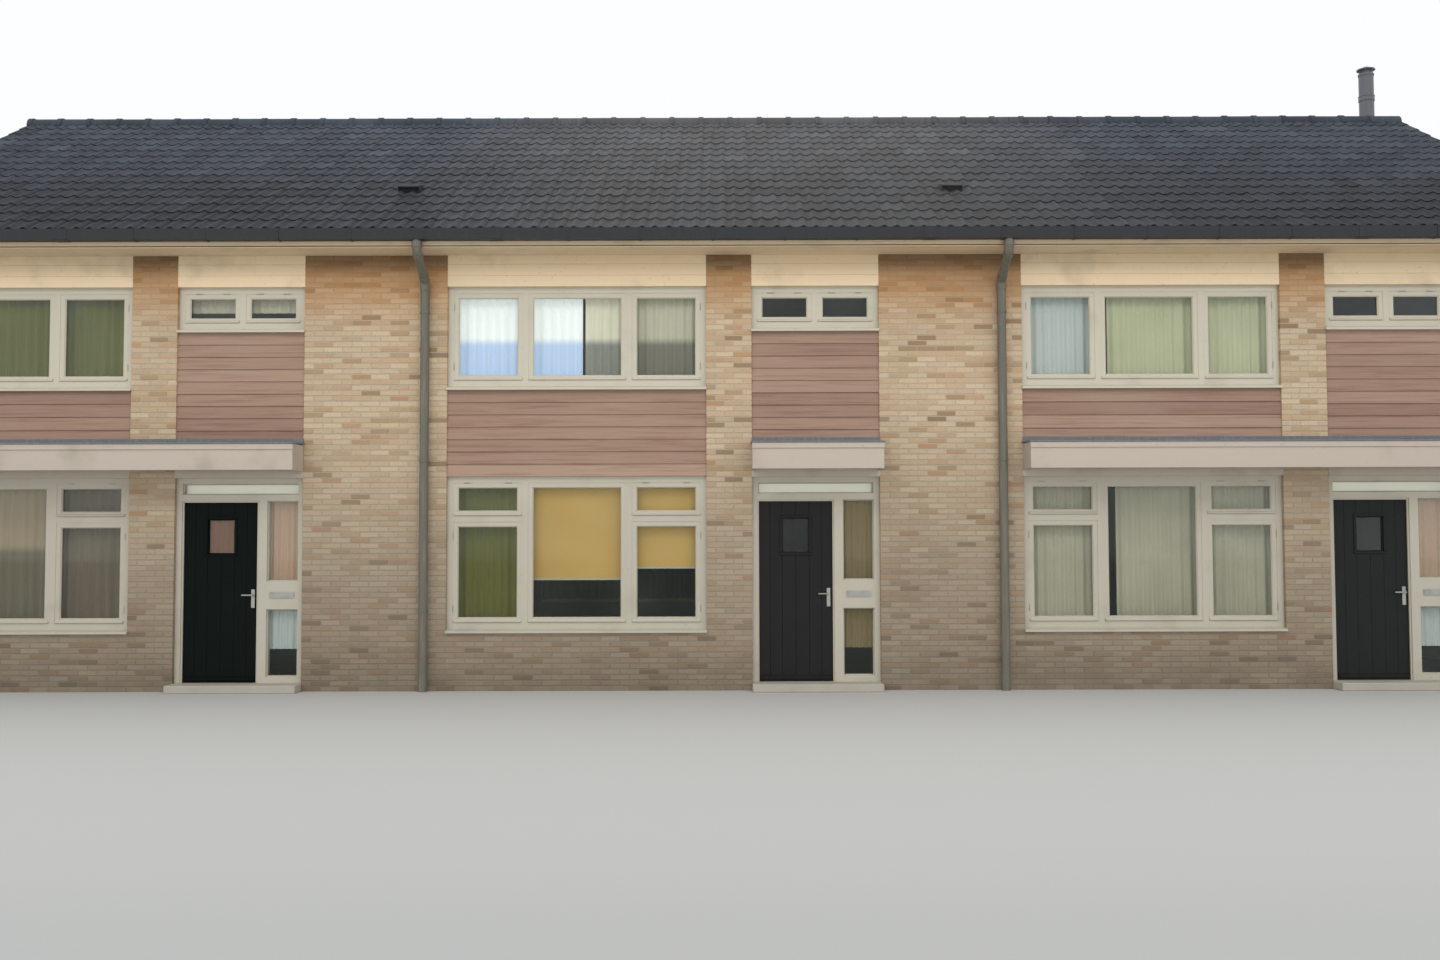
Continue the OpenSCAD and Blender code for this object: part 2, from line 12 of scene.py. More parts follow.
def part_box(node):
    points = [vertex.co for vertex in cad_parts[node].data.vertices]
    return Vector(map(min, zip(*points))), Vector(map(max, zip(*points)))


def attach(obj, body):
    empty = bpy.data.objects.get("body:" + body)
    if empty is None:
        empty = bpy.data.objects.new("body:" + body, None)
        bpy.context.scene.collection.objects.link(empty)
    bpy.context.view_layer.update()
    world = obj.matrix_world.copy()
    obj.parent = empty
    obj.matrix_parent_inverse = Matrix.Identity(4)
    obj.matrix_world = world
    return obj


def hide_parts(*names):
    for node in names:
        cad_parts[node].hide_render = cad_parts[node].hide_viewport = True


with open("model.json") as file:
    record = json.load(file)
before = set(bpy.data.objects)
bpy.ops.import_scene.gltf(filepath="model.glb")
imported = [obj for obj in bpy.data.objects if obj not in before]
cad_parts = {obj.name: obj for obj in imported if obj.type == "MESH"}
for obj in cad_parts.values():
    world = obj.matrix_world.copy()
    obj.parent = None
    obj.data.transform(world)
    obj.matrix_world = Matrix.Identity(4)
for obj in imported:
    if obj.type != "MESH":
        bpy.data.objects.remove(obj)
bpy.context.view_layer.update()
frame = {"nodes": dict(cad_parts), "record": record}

nodes = frame["nodes"]
scene = bpy.context.scene

# Measures of the row in metres, as in the part's source

HOUSES = ("left", "middle", "right")
EACH_HOUSE = range(len(HOUSES))
LEFT, MIDDLE, RIGHT = EACH_HOUSE
HOUSE_W = 6.6
STRIP_W = 0.24
WIDE_BAY_W = 2.98
PIER_W = 0.515
NARROW_BAY_W = 1.47
FACE_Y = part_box("front_piers")[0].y
WALL_T = 0.28
INNER_Y = FACE_Y + WALL_T
ROW_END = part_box("front_piers")[1].x
SLOPE = 0.55
RIDGE_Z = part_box("roof_front")[1].z
EAVE_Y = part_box("roof_front")[0].y
SLAB_T = 0.16
SOFFIT_Z = 5.02
SOFFIT_TOP_Z = 5.036
LOW_SILL_Z = 0.70
LOW_HEAD_Z = 2.44
BAND_TOP_Z = 2.83
HIGH_SILL_Z = 3.48
SMALL_SILL_Z = 4.15
HIGH_HEAD_Z = 4.63
SILL_H = 0.045
JAMB_W = 0.07
MULLION_W = 0.067
SIDE_SHARE = 0.3
VENT_H = 0.38
SASH_W = 0.05
SASH_IN = 0.066
GLASS_IN = 0.083
DOOR_GLASS_IN = 0.1
FRAME_BACK = 0.16
BOARD_IN = 0.01
BOARD_T = 0.025
STEP_Z = 0.09
DOOR_HEAD_Z = 2.17
LEAF_W = 0.868
LEAF_T = 0.054
LEAF_GAP = 0.006
POST_W = 0.1
RAIL_LOW_Z = 0.93
RAIL_HIGH_Z = 1.25
CANOPY_OUT = 0.42
CANOPY_LOW_Z = 2.5
DOOR_LIGHT_W = 0.31
DOOR_LIGHT_H = 0.4
DOOR_LIGHT_Z = 1.56
REAR_RAIL_TOP_Z = 1.15


def party_x(i):
    return (i - len(HOUSES) / 2) * HOUSE_W


def wide_bay(i):
    x = party_x(i) + STRIP_W
    return x, x + WIDE_BAY_W


def narrow_bay(i):
    x = wide_bay(i)[1] + PIER_W
    return x, x + NARROW_BAY_W


def leaf_span(i):
    x = narrow_bay(i)[0] + JAMB_W
    return x, x + LEAF_W


def door_light(i):
    """The small light in a front door."""
    centre = sum(leaf_span(i)) / 2
    return centre - DOOR_LIGHT_W / 2, centre + DOOR_LIGHT_W / 2, DOOR_LIGHT_Z, DOOR_LIGHT_Z + DOOR_LIGHT_H


def roof_z(y):
    return RIDGE_Z - abs(y) * SLOPE


def between(edges, z0, z1):
    """The lights between upright lines of a window frame, as (x0, x1, z0, z1)."""
    half = MULLION_W / 2
    return [(a + half, b - half, z0, z1) for a, b in zip(edges, edges[1:])]


def outer_edges(span):
    inset = JAMB_W - MULLION_W / 2
    return span[0] + inset, span[1] - inset


def wide_edges(i):
    x0, x1 = wide_bay(i)
    first, last = outer_edges((x0, x1))
    return first, x0 + SIDE_SHARE * WIDE_BAY_W, x1 - SIDE_SHARE * WIDE_BAY_W, last


def high_lights(i):
    return between(wide_edges(i), HIGH_SILL_Z + JAMB_W, HIGH_HEAD_Z - JAMB_W)


def small_lights(i):
    first, last = outer_edges(narrow_bay(i))
    return between((first, sum(narrow_bay(i)) / 2, last), SMALL_SILL_Z + JAMB_W, HIGH_HEAD_Z - JAMB_W)


def low_lights(i):
    side_a, middle, side_b = between(wide_edges(i), LOW_SILL_Z + JAMB_W, LOW_HEAD_Z - JAMB_W)
    lights = [middle]
    for x0, x1, z0, z1 in (side_a, side_b):
        lights += [(x0, x1, z0, z1 - VENT_H - MULLION_W), (x0, x1, z1 - VENT_H, z1)]
    return lights


def fixed_lights(i):
    """The panes set straight into a door frame: beside the door, below and above its rail, and over it."""
    x0, x1 = leaf_span(i)[1] + LEAF_GAP + POST_W, narrow_bay(i)[1] - JAMB_W
    over = DOOR_HEAD_Z + JAMB_W, LOW_HEAD_Z - JAMB_W
    return [(x0, x1, STEP_Z + JAMB_W, RAIL_LOW_Z), (x0, x1, RAIL_HIGH_Z, DOOR_HEAD_Z),
            (narrow_bay(i)[0] + JAMB_W, x1, *over)]


# Making pieces

CREASE = math.radians(35)


def edges_of(verts):
    return list({edge for v in verts for edge in v.link_edges})


def bevel(bm, edges, width, segments=1):
    bmesh.ops.bevel(bm, geom=edges, offset=width, affect="EDGES", segments=segments, profile=0.5, material=-1)


def box(bm, low, high, chamfer=0.0, tone=None):
    """A block between two corners, with its own shade of the paint and its edges chamfered."""
    low, high = Vector(low), Vector(high)
    place = Matrix.Translation((low + high) / 2) @ Matrix.Diagonal((*(high - low), 1))
    made = bmesh.ops.create_cube(bm, size=1, matrix=place)["verts"]
    if tone is not None:
        tint(bm, made, tone)
    if chamfer:
        bevel(bm, edges_of(made), chamfer)
    return made


def facade_box(bm, x0, x1, in0, in1, z0, z1, chamfer=0.0, tone=None):
    """A block of the front, placed by how far it lies behind the brick face."""
    return box(bm, (x0, FACE_Y + in0, z0), (x1, FACE_Y + in1, z1), chamfer, tone)


def rod(bm, start, end, radius, sides):
    """A round bar from one point to another."""
    start, end = Vector(start), Vector(end)
    turn = (end - start).to_track_quat("Z", "Y").to_matrix().to_4x4()
    place = Matrix.Translation((start + end) / 2) @ turn
    return bmesh.ops.create_cone(bm, cap_ends=True, segments=sides, radius1=radius, radius2=radius,
                                 depth=(end - start).length, matrix=place)["verts"]


def whole(bm):
    return bm.verts[:] + bm.edges[:] + bm.faces[:]


def only(kind, geometry):
    """The verts, edges or faces in a mix of them."""
    return [part for part in geometry if isinstance(part, kind)]


def mirror_to_rear(bm, keep_front=True):
    """Puts the mirror image of everything in bm on the rear front, beside or instead of it."""
    geometry = whole(bm)
    if keep_front:
        geometry = bmesh.ops.duplicate(bm, geom=geometry)["geom"]
    bmesh.ops.scale(bm, vec=(1, -1, 1), verts=only(bmesh.types.BMVert, geometry))
    bmesh.ops.reverse_faces(bm, faces=only(bmesh.types.BMFace, geometry))


def saw_off(bm, point, normal):
    """Takes away what lies beyond a plane and closes the cut."""
    cut = bmesh.ops.bisect_plane(bm, geom=whole(bm), plane_co=point, plane_no=normal, clear_outer=True)
    bmesh.ops.holes_fill(bm, edges=only(bmesh.types.BMEdge, cut["geom_cut"]), sides=0)


def soften(bm):
    """Smooth shading, with the edges sharper than a crease kept crisp."""
    for face in bm.faces:
        face.smooth = True
    for edge in bm.edges:
        edge.smooth = edge.calc_face_angle(0) < CREASE


def tone_layer(bm):
    return bm.faces.layers.float.get("tone") or bm.faces.layers.float.new("tone")


def tint(bm, verts, tone):
    """Gives the faces of a shape their own shade of the paint."""
    layer = tone_layer(bm)
    for face in {f for v in verts for f in v.link_faces}:
        face[layer] = tone


class Stamp:
    """A small shape that is made once and copied into a piece many times, each with a place and a tone."""

    def __init__(self, bm):
        tone_layer(bm)
        self.mesh = bpy.data.meshes.new("stamp")
        bm.to_mesh(self.mesh)
        bm.free()
        flat = np.empty(len(self.mesh.vertices) * 3)
        self.mesh.vertices.foreach_get("co", flat)
        self.points = flat.reshape(-1, 3)

    def put(self, bm, place, tone):
        place = np.array(place)
        moved = self.points @ place[:3, :3].T + place[:3, 3]
        self.mesh.vertices.foreach_set("co", moved.ravel())
        tones = self.mesh.attributes["tone"].data
        tones.foreach_set("value", np.full(len(tones), tone))
        bm.from_mesh(self.mesh)


def new_piece():
    bm = bmesh.new()
    tone_layer(bm)
    return bm


def finish_piece(name, bm, paint, body="row", replaces=()):
    mesh = bpy.data.meshes.new(name)
    bm.to_mesh(mesh)
    bm.free()
    mesh.materials.append(paints[paint])
    piece = bpy.data.objects.new(name, mesh)
    scene.collection.objects.link(piece)
    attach(piece, body)
    if replaces:
        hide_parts(*replaces)
    return piece


# Making paints: noise scales are per metre, and stretch gives the share of the scale along each axis


def linear(hex_colour):
    """A colour written as six hex digits, as the linear values that shaders use."""
    values = [int(hex_colour[k:k + 2], 16) / 255 for k in (0, 2, 4)]
    return (*[v / 12.92 if v <= 0.04045 else ((v + 0.055) / 1.055) ** 2.4 for v in values], 1.0)


class Value:
    """A number that varies over a surface: the socket that gives it, with the sums that it takes part in."""

    def __init__(self, paint, socket):
        self.paint, self.socket = paint, socket

    def sum(self, operation, a, b):
        return self.paint.node("Math", {"operation": operation}, {0: a, 1: b})

    def __add__(self, other):
        return self.sum("ADD", self, other)

    def __radd__(self, other):
        return self.sum("ADD", other, self)

    def __sub__(self, other):
        return self.sum("SUBTRACT", self, other)

    def __rsub__(self, other):
        return self.sum("SUBTRACT", other, self)

    def __mul__(self, other):
        return self.sum("MULTIPLY", self, other)

    def __rmul__(self, other):
        return self.sum("MULTIPLY", other, self)

    def __abs__(self):
        return self.paint.node("Math", {"operation": "ABSOLUTE"}, {0: self})


class Paint:
    """A finish while its nodes are laid out."""

    def __init__(self, name):
        self.material = bpy.data.materials.new(name)
        self.material.use_nodes = True
        self.tree = self.material.node_tree
        self.tree.nodes.clear()
        self.point = self.node("TexCoord", out="Object")
        axes = self.node("SeparateXYZ", inputs={0: self.point}, out=None)
        self.x, self.y, self.z = (Value(self, axis) for axis in axes.outputs)

    def node(self, kind, settings=None, inputs=None, out=0):
        made = self.tree.nodes.new("ShaderNode" + kind)
        for key, value in (settings or {}).items():
            if key == "stops":
                ramp = made.color_ramp
                while len(ramp.elements) < len(value):
                    ramp.elements.new(1.0)
                for element, (place, colour) in zip(ramp.elements, value):
                    element.position, element.color = place, linear(colour)
            else:
                setattr(made, key, value)
        for key, value in (inputs or {}).items():
            if isinstance(value, Value):
                self.tree.links.new(value.socket, made.inputs[key])
            else:
                made.inputs[key].default_value = value
        return made if out is None else Value(self, made.outputs[out])

    def noise(self, scale, detail, stretch=(1, 1, 1)):
        where = self.node("VectorMath", {"operation": "MULTIPLY"}, {0: self.point, 1: stretch})
        return self.node("TexNoise", inputs={"Vector": where, "Scale": scale, "Detail": detail})

    def step(self, value, low, high):
        """0 below the low value and 1 above the high one, with a smooth change between."""
        return self.node("MapRange", {"interpolation_type": "SMOOTHSTEP"},
                         {"Value": value, "From Min": low, "From Max": high})

    def tone(self):
        return self.node("Attribute", {"attribute_name": "tone"}, out="Fac")

    def mix(self, share, a, b, blend="MIX"):
        made = self.node("Mix", {"data_type": "RGBA", "blend_type": blend}, {0: share}, out=None)
        for socket, value in ((made.inputs[6], a), (made.inputs[7], b)):
            if isinstance(value, Value):
                self.tree.links.new(value.socket, socket)
            else:
                socket.default_value = linear(value)
        return Value(self, made.outputs[2])

    def stain(self, colour, other, where, low, high, amount):
        """Another colour on the patches where a noise lies above low, at its fullest from high on."""
        return self.mix(self.step(where, low, high) * amount, colour, other)

    def ramp(self, value, *stops):
        return self.node("ValToRGB", {"stops": stops}, {0: value})

    def shade(self, colour, amount):
        """The colour made lighter or darker by a number round 1."""
        grey = self.node("CombineColor", inputs={0: amount, 1: amount, 2: amount})
        return self.mix(1.0, colour, grey, "MULTIPLY")

    def bump(self, height, distance):
        return self.node("Bump", inputs={"Distance": distance, "Height": height})

    def finish(self, colour, roughness, normal=None, **others):
        """Ends the paint in one Principled shader. The other values are named for the sockets they go to."""
        inputs = {"Base Color": colour, "Roughness": roughness}
        if normal:
            inputs["Normal"] = normal
        inputs.update({key.replace("_", " "): value for key, value in others.items()})
        return self.close(self.node("BsdfPrincipled", inputs=inputs))

    def close(self, shader):
        self.node("OutputMaterial", inputs={0: shader}, out=None)
        return self.material


def painted_brick_shade_and_patches(p, colour):
    """Painted light and shade on brick and mortar: a painted warm bounce under the eaves, painted shade that
    greys the lower storey and darkens towards the ground, a painted shadow under the eaves, a darker foot and
    random patches.
    """
    fronts = 1 - p.step(abs(p.x), ROW_END - 0.002, ROW_END - 0.0005)
    # Painted light: a warm orange cast of bounced light on the fronts under the eaves.
    eaves = p.step(p.z, 4.05, 4.75) * fronts
    colour = p.mix(eaves * 0.6, colour, "b3824a")
    # Painted shade: the lower storey greyer and less warm.
    shaded_low_storey = 1 - p.step(p.z, 0.9, 3.4)
    colour = p.mix(shaded_low_storey * 0.35, colour, "8a857a")
    # Darker towards the foot of the wall, in patches.
    foot = (1 - p.step(p.z, 0.05, 0.7)) * p.noise(2.2, 3.0)
    colour = p.mix(foot * 0.6, colour, "625b4d")
    # Painted shade: darker towards the ground. Painted shadow: the top of the fronts darker under the eaves.
    painted_ground_shade = 0.62 + 0.36 * p.step(p.z, -0.3, 3.6)
    painted_eaves_shadow = 1 - 0.55 * p.step(p.z, 4.72, 4.95) * fronts
    return p.shade(colour, painted_ground_shade * painted_eaves_shadow * (0.86 + 0.28 * p.noise(0.7, 4.0)))


def face_brick():
    p = Paint("buff_face_brick")
    colour = p.ramp(p.tone(), (0.0, "8f775c"), (0.12, "ab9070"), (0.35, "bca284"), (0.6, "c4ae92"),
                    (0.85, "cdb99d"), (1.0, "b08a66"))
    grain = p.noise(70, 4.0)
    colour = p.stain(colour, "8a7256", grain, 0.52, 0.75, 0.5)
    colour = p.stain(colour, "e0d2bb", p.noise(240, 2.0), 0.6, 0.8, 0.35)
    colour = painted_brick_shade_and_patches(p, colour)
    return p.finish(colour, 0.93, p.bump(grain + 0.5 * p.noise(300, 2.0), 0.0015))


def brick_wall():
    """The CAD walls: mortar on the outer faces, coursing in the reveals, plaster inside."""
    p = Paint("mortar_and_plaster")
    between_fronts = 1 - p.step(abs(p.y), -INNER_Y + 0.0005, -INNER_Y + 0.002)
    between_gables = 1 - p.step(abs(p.x), ROW_END - 0.24, ROW_END - 0.235)
    mortar = p.mix(p.noise(180, 3.0), "9c9486", "c3baa9")
    mortar = painted_brick_shade_and_patches(p, mortar)
    plaster = p.mix(p.noise(3, 4.0), "cfc9bd", "dad5ca")
    colour = p.mix(between_fronts * between_gables, mortar, plaster)
    return p.finish(colour, 0.95, p.bump(p.noise(220, 3.0), 0.0015))


def roof_tile():
    p = Paint("concrete_roof_tile")
    colour = p.ramp(p.tone(), (0.0, "26292d"), (0.5, "34373c"), (1.0, "43464b"))
    warm = p.step(p.x, -4.3, -1.2) * (1 - p.step(p.x, 2.6, 6.2))
    colour = p.mix(warm * 0.25, colour, "5a5550")
    colour = p.stain(colour, "4b4f55", p.noise(1.3, 5.0), 0.45, 0.75, 0.35)
    cool = 1 - warm
    colour = p.mix(cool * 0.8, colour, p.mix(1.0, colour, "c6d6ea", "MULTIPLY"))
    # Painted light: the tiles are made lighter towards the ridge. The outer roofs are also darker near their
    # gutters.
    painted_ridge_light = 0.9 + 0.95 * p.step(p.z, 5.4, 8.0)
    colour = p.shade(colour, painted_ridge_light * (1 - 0.32 * cool * (1 - p.step(p.z, 5.2, 6.9))))
    lichen = p.step(p.noise(38, 5.0), 0.58, 0.76) * p.step(p.noise(1.9, 3.0), 0.4, 0.62)
    colour = p.mix(lichen * 0.6, colour, "6a6c5c")
    colour = p.stain(colour, "1f2124", p.noise(4, 5.0, (6, 0.6, 0.6)), 0.5, 0.75, 0.4)
    return p.finish(colour, 0.72 + 0.25 * p.noise(20, 3.0), p.bump(p.noise(260, 3.0), 0.0012))


def stained_board():
    p = Paint("stained_weatherboard")
    grain = p.noise(26, 6.0, (0.05, 1, 1.6))
    fibre = p.noise(160, 3.0, (0.02, 1, 1))
    colour = p.ramp(p.tone(), (0.0, "886d5f"), (0.5, "9c8070"), (1.0, "ac9280"))
    colour = p.stain(colour, "735548", grain, 0.45, 0.7, 0.4)
    colour = p.stain(colour, "b69d8b", fibre, 0.55, 0.75, 0.35)
    colour = p.stain(colour, "ad9686", p.noise(1.1, 4.0, (0.5, 1, 2)), 0.45, 0.75, 0.35)
    return p.finish(colour, 0.7 + 0.15 * grain, p.bump(grain + 0.6 * fibre, 0.0016))


def gloss_paint(name, colour, grime="8d8573", amount=0.3, roughness=0.42, shine=0.5):
    """Paint on wood: brush marks along the length, a little grime and worn patches, and painted shade on the
    lower storey and under the eaves.
    """
    p = Paint(name)
    brush = p.noise(140, 3.0, (0.06, 1, 1))
    patch = p.noise(2.4, 5.0)
    shade = p.stain(colour, grime, patch, 0.5, 0.8, amount)
    shade = p.stain(shade, grime, p.noise(30, 5.0), 0.66, 0.72, amount)
    # Painted shade: darker on the lower storey and under the eaves.
    shaded_low_storey, under_eaves = 1 - p.step(p.z, 1.8, 3.6), p.step(p.z, 4.75, 4.95)
    shade = p.shade(shade, (0.95 + 0.1 * p.tone()) * (1 - 0.14 * shaded_low_storey) * (1 - 0.14 * under_eaves))
    return p.finish(shade, roughness + 0.18 * patch, p.bump(brush, 0.0004), Specular_IOR_Level=shine)


def concrete(name, light, dark, pits=0.35):
    p = Paint(name)
    cloud = p.noise(2.5, 6.0)
    colour = p.mix(cloud, dark, light)
    colour = p.stain(colour, "6d685e", p.noise(90, 2.0), 0.64, 0.72, pits)
    return p.finish(colour, 0.88, p.bump(cloud + 0.4 * p.noise(160, 3.0), 0.002))


def coated(name, colour, dust, roughness=0.4):
    """Coated sheet or plastic pipe, with dust and rain streaks."""
    p = Paint(name)
    streak = p.noise(9, 4.0, (4, 4, 0.25))
    shade = p.stain(colour, dust, streak, 0.45, 0.8, 0.45)
    shade = p.stain(shade, dust, p.noise(60, 3.0), 0.6, 0.75, 0.2)
    return p.finish(shade, roughness + 0.25 * streak, p.bump(p.noise(40, 2.0), 0.0003))


def satin_metal():
    p = Paint("satin_metal")
    rub = p.noise(300, 3.0, (0.1, 1, 1))
    colour = p.stain("b9b8b2", "8f8d88", p.noise(9, 3.0), 0.4, 0.8, 0.5)
    return p.finish(colour, 0.32 + 0.12 * rub, p.bump(rub, 0.0001), Metallic=0.9)


def pane_glass():
    """Clear glass: what is behind shows through, more so seen straight on."""
    p = Paint("window_glass")
    slant = p.node("LayerWeight", inputs={"Blend": 0.2}, out="Facing")
    film = p.step(p.noise(1.2, 3.0), 0.4, 0.8) * 0.02
    clear = p.node("BsdfTransparent", inputs={"Color": (0.95, 0.965, 0.955, 1)})
    gloss = p.node("BsdfGlossy", inputs={"Color": (0.62, 0.68, 0.66, 1), "Roughness": 0.03})
    shader = p.node("MixShader", inputs={0: 0.025 + 0.5 * slant + film, 1: clear, 2: gloss})
    return p.close(shader)


def cloth(name, light, dark, threads=700, painted_glow=0.0, foot=None, foot_z=4.02):
    """Curtain cloth: a plain weave with soft patches, a painted glow where it has one, and a lower part of
    another colour where it has one, which is painted sky reflection or painted shade.
    """
    p = Paint(name)
    warp, weft = (p.node("Math", {"operation": "SINE"}, {0: axis * threads}) for axis in (p.x, p.z))
    weave = 0.5 + 0.25 * warp * weft
    colour = p.mix(p.noise(1.6, 4.0), dark, light)
    # Where given, the lower part takes another colour: painted sky reflection on the blue net, painted shade
    # on the others.
    if foot:
        colour = p.mix((1 - p.step(p.z, foot_z - 0.06, foot_z + 0.06)) * 0.85, colour, foot)
    colour = p.shade(colour, 0.9 + 0.15 * weave)
    # Painted light: the cloth glows with the painted_glow strength, though no lamp is in it.
    return p.finish(colour, 0.92, p.bump(weave, 0.0004), Sheen_Weight=0.25, Emission_Color=colour,
                    Emission_Strength=painted_glow)


paints = {
    "brick": face_brick(),
    "wall": brick_wall(),
    "tile": roof_tile(),
    "board": stained_board(),
    "cream": gloss_paint("cream_joinery_paint", "c9c4b4", amount=0.25),
    "band": gloss_paint("band_paint", "c4b9ac", amount=0.35, roughness=0.55),
    "head": gloss_paint("eaves_board_paint", "ecd7b6", roughness=0.6),
    "green": gloss_paint("green_black_door_paint", "0f1615", "1c2220", roughness=0.45, shine=0.08),
    "black": gloss_paint("soft_black_door_paint", "1f1f20", "302f2e", roughness=0.45, shine=0.25),
    "grey": gloss_paint("dark_grey_door_paint", "1e2120", "323432", roughness=0.45, shine=0.25),
    "plaster": concrete("plaster", "dad5ca", "cfc9bd", 0.05),
    "concrete": concrete("concrete", "b9b4aa", "9d988d"),
    "mortar": concrete("ridge_mortar", "8e8b84", "77746d"),
    "gutter": coated("dark_gutter", "212327", "33353a"),
    "pipe": coated("grey_pipe", "66645a", "8a8676"),
    "flue": coated("grey_flue", "6c6e74", "505256"),
    "lead": coated("lead_sheet", "6b6f73", "8d9091", 0.5),
    "metal": satin_metal(),
    "glass": pane_glass(),
    # Painted light: the white net, the blue-footed net, the cream net and the white blind glow with
    # painted_glow.
    "net": cloth("white_net", "f2f5f8", "e4eaf0", painted_glow=0.3),
    # Painted reflection of the sky: the blue foot of this net.
    "net_with_painted_sky": cloth("white_net_with_painted_sky_reflection", "f4f6f6", "e9eef0", painted_glow=0.36, foot="aac2e6"),
    # Painted shade: the cream net's darker grey foot.
    "cream_net": cloth("cream_net", "efebd9", "dcd7c4", painted_glow=0.12, foot="767a76"),
    "linen": cloth("linen_blind", "d9d0bd", "c7bca6"),
    "white_blind": cloth("white_blind", "f4efe2", "e8e1d0", threads=500, painted_glow=0.25),
    "olive": cloth("olive_curtain", "7b7a34", "5b5c20"),
    "sage": cloth("sage_curtain", "dcdcbc", "bcbe9a"),
    "mist": cloth("grey_blue_net", "d6dbd9", "c3cccf"),
    "beige": cloth("beige_curtain", "cdc7b2", "a39d8a"),
    # Painted shade: the beige curtain's grey foot.
    "beige_with_painted_shade": cloth("beige_curtain_with_painted_shade", "e2dcc8", "c4beab", foot="716d63"),
    "tan": cloth("tan_blind", "dcb76c", "c49d54", threads=500),
    "brown": cloth("brown_curtain", "85745d", "5e513e"),
    "khaki": cloth("khaki_curtain", "9a8558", "7d6c4c"),
    # Painted shade: the sand curtain darker below 1.62 m.
    "sand": cloth("sand_curtain", "b8a388", "9a866c", foot="6a624c", foot_z=1.62),
    "russet": cloth("russet_curtain", "8e6248", "6e4a38"),
    "rose": cloth("rose_net", "dfbda6", "bf9f8a"),
}

SLOT_PAINTS = {
    "brick": "wall", "plaster": "plaster", "concrete": "concrete", "roof_tiles": "tile",
    "boards": "board", "painted_boards": "band", "joinery": "cream", "glass": "glass",
    "gutter": "gutter", "pipe": "pipe", "flue": "flue", "door_metal": "metal",
    "green_door": "green", "black_door": "black", "grey_door": "grey",
}
for part in frame["record"]["subparts"]:
    under_eaves = part["node"].startswith(("head_", "eaves_"))
    for material_slot in nodes[part["node"]].material_slots:
        material_slot.material = paints["head" if under_eaves else SLOT_PAINTS[part["material_slot"]]]

# Brickwork

BRICK_H = 0.05
COURSE = 0.0625
JOINT = 0.010
HALF_UNIT = 0.11
PROUD = 0.004
BRICK_IN = 0.008
BRICK_ARRIS = 0.003
REVEAL = 0.064
HIDDEN_IN_VERGE = 0.18
STREWN = 0.06


def unit_lines(marks):
    """Upright lines a half brick apart, fitted between the marks, and where each mark is among them."""
    lines, at = [marks[0]], [0]
    for a, b in zip(marks, marks[1:]):
        count = max(1, round((b - a) / HALF_UNIT))
        lines += [a + (b - a) * k / count for k in range(1, count + 1)]
        at.append(len(lines) - 1)
    return lines, at


class Bricklayer:
    """Lays stretcher bond along a straight wall face, one stamp for each brick size."""

    def __init__(self, seed):
        self.bm, self.random, self.stamps = new_piece(), random.Random(seed), {}

    def stamp(self, length, depth):
        key = round(length, 3), depth
        if key not in self.stamps:
            bm = bmesh.new()
            box(bm, (-length / 2, 0, 0), (length / 2, depth, BRICK_H))
            bevel(bm, [e for e in bm.edges if all(v.co.y < BRICK_ARRIS for v in e.verts)], BRICK_ARRIS)
            self.stamps[key] = Stamp(bm)
        return self.stamps[key]

    def tone(self):
        """Mostly buff, with a few dark and a few reddish bricks strewn in."""
        pick = self.random.random()
        if pick < STREWN:
            return self.random.uniform(0.0, 0.15)
        if pick > 1 - STREWN:
            return self.random.uniform(0.92, 1.0)
        return min(0.9, max(0.15, self.random.gauss(0.55, 0.17)))

    def brick(self, turn, start, end, course, depth):
        jog = self.random.uniform
        middle = (start + end) / 2 + jog(-0.0007, 0.0007)
        spot = middle, jog(-0.0012, 0.0008), course * COURSE + jog(-0.0006, 0.0006)
        self.stamp(end - start, depth).put(self.bm, turn @ Matrix.Translation(spot), self.tone())

    def lay(self, turn, lines, first, last, courses, offset=0, reveals=(False, False)):
        """Bricks from one upright line to another. A reveal is an end beside an opening."""
        for course in courses:
            k = first
            while k < last:
                end = min(last, k + (1 if (k + course + offset) % 2 else 2))
                deep = (k == first and reveals[0]) or (end == last and reveals[1])
                start_x = lines[k] + (JOINT / 2 if k > first else -PROUD)
                end_x = lines[end] - (JOINT / 2 if end < last else -PROUD)
                self.brick(turn, start_x, end_x, course, REVEAL if deep else BRICK_IN)
                k = end


def brick_front(name, seed, rear):
    layer = Bricklayer(seed)
    turn = Matrix.Translation((0, FACE_Y - PROUD, 0))
    marks = [-ROW_END, *(x for i in EACH_HOUSE for x in (*wide_bay(i), *narrow_bay(i))), ROW_END]
    lines, at = unit_lines(marks)
    doors, last = [marks.index(narrow_bay(i)[0]) for i in EACH_HOUSE], len(marks) - 1
    low = range(0, math.ceil((LOW_SILL_Z - SILL_H) / COURSE))
    high = range(low.stop, math.ceil(SOFFIT_Z / COURSE))
    walls = zip([0, *(k + 1 for k in doors)], [*doors, last])
    piers = [(0, 1)] + [(k - 1, k) for k in doors] + [(k + 1, k + 2) for k in doors]
    for courses, spans in ((low, walls), (high, piers)):
        for a, b in spans:
            layer.lay(turn, lines, at[a], at[b], courses, reveals=(a > 0, b < last))
    if rear:
        mirror_to_rear(layer.bm, keep_front=False)
    finish_piece(name, layer.bm, "brick")


